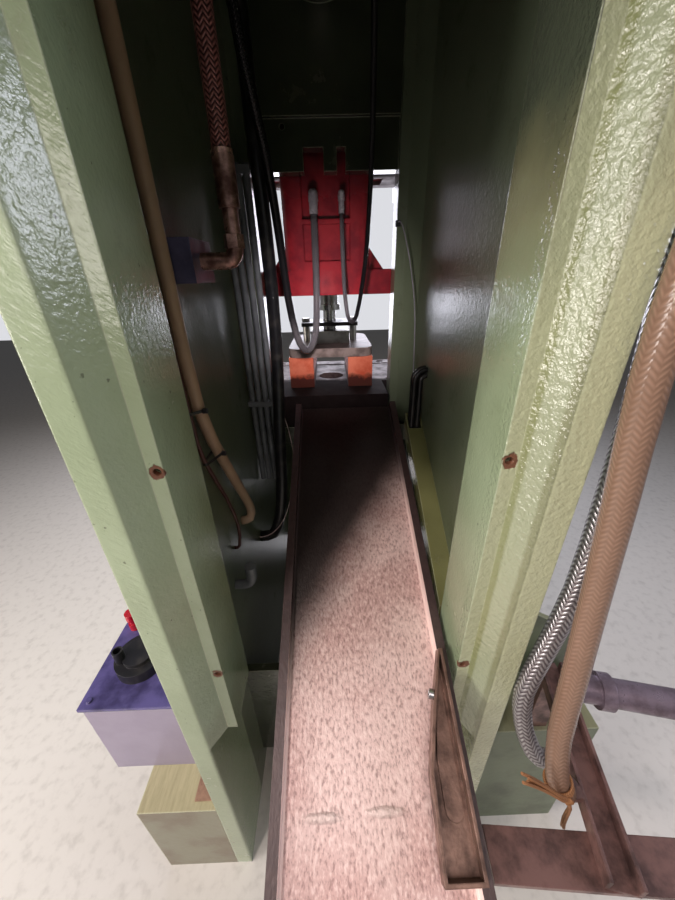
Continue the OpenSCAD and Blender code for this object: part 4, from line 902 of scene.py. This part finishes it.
def tubeMesh(name, line, radius, finish, sides=14):
    # In its UV map u goes once round the tube, and v counts its girths along it
    bm = bmesh.new()
    uvLayer = bm.loops.layers.uv.new("UVMap")
    rings = []
    along = []
    side = None
    distance = 0.0
    for i, point in enumerate(line):
        ahead = (line[min(i + 1, len(line) - 1)] - line[max(i - 1, 0)]).normalized()
        if side is None:
            side = ahead.orthogonal().normalized()
        side = (side - ahead * side.dot(ahead)).normalized()
        other = ahead.cross(side)
        if i:
            distance += (point - line[i - 1]).length
        along.append(distance / (2 * math.pi * radius))
        rings.append([bm.verts.new(point + radius * (math.cos(2 * math.pi * k / sides) * side
                                                     + math.sin(2 * math.pi * k / sides) * other))
                      for k in range(sides)])
    for i in range(len(rings) - 1):
        for k in range(sides):
            nextK = (k + 1) % sides
            face = bm.faces.new((rings[i][k], rings[i][nextK], rings[i + 1][nextK], rings[i + 1][k]))
            face.smooth = True
            corners = ((k, i), (k + 1, i), (k + 1, i + 1), (k, i + 1))
            for loop, (aroundStep, alongStep) in zip(face.loops, corners):
                loop[uvLayer].uv = (aroundStep / sides, along[alongStep])
    bm.faces.new(list(reversed(rings[0])))
    bm.faces.new(rings[-1])
    return meshPiece(name, bm, finish)


def meshPiece(name, bm, finish, body=None):
    mesh = bpy.data.meshes.new(name)
    bm.to_mesh(mesh)
    bm.free()
    piece = bpy.data.objects.new(name, mesh)
    scene.collection.objects.link(piece)
    mesh.materials.append(finishes[finish])
    if body:
        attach(piece, body)
    return piece


# Heights and faces of the press that the routes start from or end at
frameTop = 2180
columnFace = 282
wallFace = 246
hoses = {
    "tan_hose": {"radius": 11, "finish": "tanRubber", "slot": "tan_rubber", "route": [
        (226, 392, frameTop), (226, 390, 1900), (226, 388, 1640), (226, 387, 1350), (226, 376, 1160),
        (226, 300, 1010), (225, 220, 880), (222, 190, 815), (224, 200, 790), (wallFace, 204, 785)]},
    "maroon_line": {"radius": 4, "finish": "maroonTube", "slot": "maroon_plastic", "route": [
        (234, 410, frameTop), (234, 410, 1700), (234, 408, 1420), (234, 395, 1150), (234, 380, 1060),
        (234, 310, 930), (232, 276, 830), (234, 286, 775), (wallFace, 288, 770)]},
    "hanging_bundle": {"radius": 17, "finish": "rubber", "slot": "black_rubber", "route": [
        (150, -20, frameTop), (150, -22, 1800), (148, -40, 1560), (147, -62, 1340), (150, -40, 1120),
        (156, 0, 960), (162, 24, 800), (176, 40, 680), (204, 44, 605), (wallFace, 44, 596)]},
    "slide_hose_thick": {"radius": 10, "finish": "slideBraid", "slot": "steel_braid", "route": [
        (33, -190, 1500), (33, -186, 1420), (35, -170, 1300), (42, -150, 1200), (58, -135, 1158),
        (78, -120, 1156), (96, -98, 1205), (108, -76, 1300), (114, -40, 1440), (121, 20, 1580),
        (134, 100, 1690), (141, 140, 1830), (142, 150, 2000), (142, 150, frameTop)]},
    "slide_hose_thin": {"radius": 6, "finish": "slideBraid", "slot": "steel_braid", "route": [
        (-42, -190, 1500), (-43, -184, 1420), (-46, -168, 1320), (-54, -155, 1246), (-66, -148, 1228),
        (-80, -144, 1246), (-96, -138, 1330), (-106, -124, 1430), (-109, -70, 1600), (-100, 20, 1720),
        (-92, 80, 1820), (-90, 95, 1960), (-90, 100, frameTop)]},
    "outer_hose_brown": {"radius": 16, "finish": "tanBraid", "slot": "tan_rubber", "route": [
        (-columnFace, 568, 1900), (-312, 572, 1890), (-332, 582, 1830), (-322, 596, 1640),
        (-306, 618, 1500), (-286, 631, 1370), (-290, 630, 1260), (-306, 634, 1120), (-316, 642, 990),
        (-318, 660, 850), (-318, 676, 740), (-322, 694, 670), (-330, 700, 640), (-344, 701, 630)]},
    "outer_hose_silver": {"radius": 15, "finish": "steelBraid", "slot": "steel_braid", "route": [
        (-columnFace, 524, 1860), (-312, 526, 1850), (-336, 534, 1780), (-340, 544, 1600),
        (-336, 560, 1400), (-331, 584, 1224), (-334, 590, 1110), (-332, 598, 950), (-314, 606, 833),
        (-296, 616, 740), (-304, 626, 672), (-318, 638, 628), (-336, 646, 600), (-368, 650, 590)]},
}
slideHoses = ("slide_hose_thick", "slide_hose_thin")


def layHoses():
    for name, hose in hoses.items():
        points = [Vector(p) / 1000 for p in hose["route"]]
        radius = hose["radius"] / 1000
        line = smoothRoute(points)
        piece = tubeMesh(name + "_skin", line, radius, hose["finish"])
        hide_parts(name)
        if name in slideHoses:
            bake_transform(piece)
        else:
            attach(piece, "frame")


layHoses()
print("hoses laid")


# Thin cables that only the visual model has. Each starts and ends in a piece of the press.
smallCables = {
    "clip_cable": {"radius": 1.6, "finish": "greyCable", "slot": "black_rubber", "route": [
        (-186, -134, 1470), (-189, -127, 1472), (-196, -119, 1463), (-206, -112, 1430), (-218, -104, 1380),
        (-229, -96, 1322), (-236, -88, 1266), (-239, -80, 1206), (-239, -68, 1140), (-237, -48, 1074),
        (-232, -22, 1022), (-228, 6, 988), (-226, 34, 970)]},
    "thin_wire": {"radius": 1.2, "finish": "paleTube", "slot": "black_rubber", "route": [
        (178, -52, 1046), (170, -47, 1042), (158, -44, 1018), (144, -38, 975), (132, -26, 925),
        (124, -8, 878), (124, 8, 830), (129, 24, 785), (136, 40, 747), (148, 54, 708),
        (164, 62, 672), (184, 66, 644), (206, 68, 624), (228, 68, 614), (wallFace, 68, 612)]},
}
# Bands round two hoses that run side by side, with the middle and the radius of each hose
hoseTies = {
    "tie_upper": ((226, 377, 1154), 11, (234, 395, 1154), 4),
    "tie_lower": ((226, 333, 1050), 11, (234, 376, 1050), 4),
}
bandLook = {
    "gap": 1.2,
    "thick": 1.6,
    "height": 5.0,
    "steps": 24,
    "head": (9.0, 7.0, 8.0),
    "headBevel": 1.2,
    "headOut": 4.0,
}


def laySmallCables():
    for name, cable in smallCables.items():
        points = [Vector(p) / 1000 for p in cable["route"]]
        line = smoothRoute(points, 6.0)
        piece = tubeMesh(name, line, cable["radius"] / 1000, cable["finish"], 8)
        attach(piece, "frame")


def tieHoses(look):
    # A flat band that wraps two hoses, level, with its locking head on the side away from the wall
    for name, (bigMiddle, bigRadius, smallMiddle, smallRadius) in hoseTies.items():
        big, small = Vector(bigMiddle), Vector(smallMiddle)
        apart = small - big
        bm = bmesh.new()
        for middle, radius in ((big, bigRadius), (small, smallRadius)):
            for rise in (-0.5, 0.5):
                wide = (radius + look["gap"]) / 1000
                ring = bmesh.ops.create_circle(bm, segments=look["steps"], radius=wide)
                place = middle + Vector((0, 0, rise * look["height"]))
                bmesh.ops.translate(bm, vec=place / 1000, verts=ring["verts"])
        bmesh.ops.convex_hull(bm, input=bm.verts[:])
        bmesh.ops.delete(bm, geom=[v for v in bm.verts if not v.link_faces], context="VERTS")
        # The hull's two level ends go, and the wall between them stays
        bmesh.ops.delete(bm, geom=[f for f in bm.faces if abs(f.normal.z) > 0.9], context="FACES")
        bmesh.ops.recalc_face_normals(bm, faces=bm.faces)
        bmesh.ops.solidify(bm, geom=bm.faces[:], thickness=look["thick"] / 1000)
        bandVerts = len(bm.verts)
        away = Vector((-apart.y, apart.x, 0)).normalized()
        if away.x > 0:
            away = -away
        head = bmesh.ops.create_cube(bm, size=1.0)["verts"]
        bmesh.ops.scale(bm, vec=Vector(look["head"]) / 1000, verts=head)
        headEdges = [e for e in bm.edges if e.verts[0] in head]
        bmesh.ops.bevel(bm, geom=headEdges, offset=look["headBevel"] / 1000, segments=2, profile=0.5,
                        affect="EDGES", material=-1)
        bm.verts.ensure_lookup_table()
        moved = bm.verts[bandVerts:]
        bmesh.ops.translate(bm, vec=(big + away * (bigRadius + look["headOut"])) / 1000, verts=moved)
        piece = meshPiece(name, bm, "plastic", "frame")


# Hemp string wound round the brown hose's end, with two bundles of loose ends
stringTie = {
    "hose": ((-323, 695, 664), (-330, 700, 640)),
    "hoseRadius": 16.5,
    "radius": 2.1,
    "wraps": 3,
    "strands": 4,
    "spread": 2.4,
    "wound": (0.3, 0.5),            # where on the hose the winding begins, and its length, as shares
    "splay": (0.6, 0.35, 0.2),      # of the loose ends: at the knot, more at each point, and waviness
    "bundles": [[(-330, 717, 650), (-318, 718, 658), (-300, 714, 670), (-276, 712, 690), (-251, 712, 712)],
                [(-331, 717, 648), (-340, 718, 622), (-346, 715, 590), (-352, 713, 556), (-358, 712, 528)]],
    "knot": (-330, 718, 650),
    "knotRadius": 6.5,
    "knotLobes": (3, 0.16, 240.0),  # how many, how high, and their twist per metre
}


def tieString(look):
    top, bottom = (Vector(p) / 1000 for p in look["hose"])
    axis = (bottom - top).normalized()
    side = axis.orthogonal().normalized()
    other = axis.cross(side)
    wound = []
    steps = 20
    woundFrom, woundShare = look["wound"]
    for i in range(look["wraps"] * steps + 1):
        turn = 2 * math.pi * i / steps
        middle = top.lerp(bottom, woundFrom + woundShare * i / (look["wraps"] * steps))
        wound.append(middle + (look["hoseRadius"] + look["radius"]) / 1000
                     * (math.cos(turn) * side + math.sin(turn) * other))
    pieces = [tubeMesh("string_wraps", wound, look["radius"] / 1000, "hemp", 8)]
    atKnot, perPoint, waviness = look["splay"]
    for bundle, route in enumerate(look["bundles"]):
        for strand in range(look["strands"]):
            turn = 2 * math.pi * strand / look["strands"] + bundle
            apart = Vector((0.3 * math.cos(turn), math.cos(turn), math.sin(turn))) * look["spread"]
            points = []
            for i, p in enumerate(route):
                splay = atKnot + perPoint * i + waviness * math.sin(i * 2 + strand)
                points.append((Vector(p) + apart * splay) / 1000)
            if strand % 2:
                points[-1] = points[-2].lerp(points[-1], 0.6)
            pieces.append(tubeMesh("string_end_%d_%d" % (bundle, strand), smoothRoute(points, 6.0),
                                   look["radius"] / 1000, "hemp", 8))
    bm = bmesh.new()
    bmesh.ops.create_uvsphere(bm, u_segments=16, v_segments=10, radius=look["knotRadius"] / 1000)
    lobes, lobeHeight, twist = look["knotLobes"]
    for vert in bm.verts:
        turn = math.atan2(vert.co.y, vert.co.x)
        vert.co *= 1 + lobeHeight * math.sin(lobes * turn + twist * vert.co.z)
    bmesh.ops.translate(bm, vec=Vector(look["knot"]) / 1000, verts=bm.verts)
    pieces.append(meshPiece("string_knot", bm, "hemp"))
    for piece in pieces:
        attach(piece, "frame")


# A raw steel strip left on the foot beside the column, and the clip of the thin cable
looseBits = {
    # name: middle, size, bevel, finish, slot
    "foot_strip": ((312, 566, 316.6), (44, 52, 3), 0.5, "rawStrip", "machined_steel"),
    "cable_clip": ((-187, -135, 1468), (13, 8, 15), 1.5, "plastic", "black_plastic"),
}


def layLooseBits():
    for name, (middle, size, bevelMm, finish, slot) in looseBits.items():
        bm = bmesh.new()
        bmesh.ops.create_cube(bm, size=1.0)
        bmesh.ops.scale(bm, vec=Vector(size) / 1000, verts=bm.verts)
        bmesh.ops.bevel(bm, geom=bm.edges[:], offset=bevelMm / 1000, segments=2, profile=0.5, affect="EDGES",
                        material=-1)
        bmesh.ops.translate(bm, vec=Vector(middle) / 1000, verts=bm.verts)
        meshPiece(name, bm, finish, "frame")


laySmallCables()
tieHoses(bandLook)
tieString(stringTie)
layLooseBits()
print("ties and small cables laid")


# Room: a pale floor, a pale surround that the camera sees in full, and soft lamps.
# Most of the light comes from the picture's left, so that the left column stands in its own shade and the
# space between the columns stays dark.
roomLook = {
    "floor": "#d5d2cc",
    "floorRoughness": 0.5,
    "floorSize": 9.0,
    "surround": "#dcdde2",
    "ambient": 0.006,
    "mirrored": 0.29,      # how bright the surround is in reflections
}
lamps = {
    # name: place, aimed at, width and height, power, colour
    "highLeft": ((2.3, 2.3, 2.5), (0.0, 0.55, 1.0), (0.35, 0.6), 19.0, "#fff6f0"),
    "lowLeft": ((2.3, 1.5, 1.1), (0.0, 0.55, 1.1), (0.8, 0.8), 36.0, "#fff6f0"),
    "sideLeft": ((2.6, 1.0, 1.9), (0.0, 0.6, 1.2), (0.8, 0.8), 19.0, "#fff6f0"),
    "eyeLeft": ((1.3, 2.5, 1.6), (0.0, 0.6, 1.1), (0.5, 0.8), 8.0, "#fff6f0"),
    "sideRight": ((-2.6, 1.0, 1.9), (0.0, 0.6, 1.2), (0.8, 0.8), 24.0, "#eef0ff"),
    "steepLeft": ((1.12, 2.1, 3.44), (0.0, 0.5, 0.9), (0.3, 0.3), 34.0, "#ffeee8"),
    "behind": ((-0.3, 2.6, 3.0), (0.0, 0.9, 0.8), (1.2, 1.2), 17.0, "#ffeee8"),
    "frontDaylight": ((0.0, -2.4, 1.7), (0.0, -0.4, 1.2), (2.0, 2.0), 80.0, "#f2f2ff"),
    "dieLight": ((0.03, 0.28, 1.3), (0.0, -0.2, 1.24), (0.06, 0.06), 0.55, "#fff0f2"),
}
# Lamps that shine into the press in a cone of so many degrees, and aren't seen in reflections
narrowLamps = {"dieLight": 80.0}


def lightRoom(look):
    world = bpy.data.worlds.new("room")
    scene.world = world
    world.use_nodes = True
    tree = world.node_tree
    mirrored = addNode(tree, "LightPath", output="Is Glossy Ray")
    mirrored = addNode(tree, "Math", (mirrored, look["mirrored"]), operation="MULTIPLY")
    seen = addNode(tree, "LightPath", output="Is Camera Ray")
    seen = addNode(tree, "Math", (seen, mirrored), operation="MAXIMUM")
    strength = addNode(tree, "Math", (seen, look["ambient"]), operation="MAXIMUM")
    fillInputs(tree, tree.nodes["Background"], {"Color": look["surround"], "Strength": strength})
    for name, (place, aim, (width, height), power, colour) in lamps.items():
        data = bpy.data.lights.new(name, "AREA")
        data.shape = "RECTANGLE"
        data.size, data.size_y = width, height
        data.energy = power
        data.color = linear(colour)[:3]
        data.spread = math.radians(narrowLamps.get(name, 180.0))
        lamp = bpy.data.objects.new(name, data)
        lamp.location = place
        lamp.rotation_euler = (Vector(aim) - Vector(place)).to_track_quat("-Z", "Y").to_euler()
        lamp.visible_camera = False
        lamp.visible_glossy = name not in narrowLamps
        scene.collection.objects.link(lamp)


def layFloor(look):
    bm = bmesh.new()
    bmesh.ops.create_grid(bm, x_segments=1, y_segments=1, size=look["floorSize"])
    finishes["floor"] = dustySurface("paleFloor", look["floor"], look["floorRoughness"])
    meshPiece("floor", bm, "floor")


lightRoom(roomLook)
layFloor(roomLook)
print("room lit")


scene.view_settings.view_transform = "Standard"
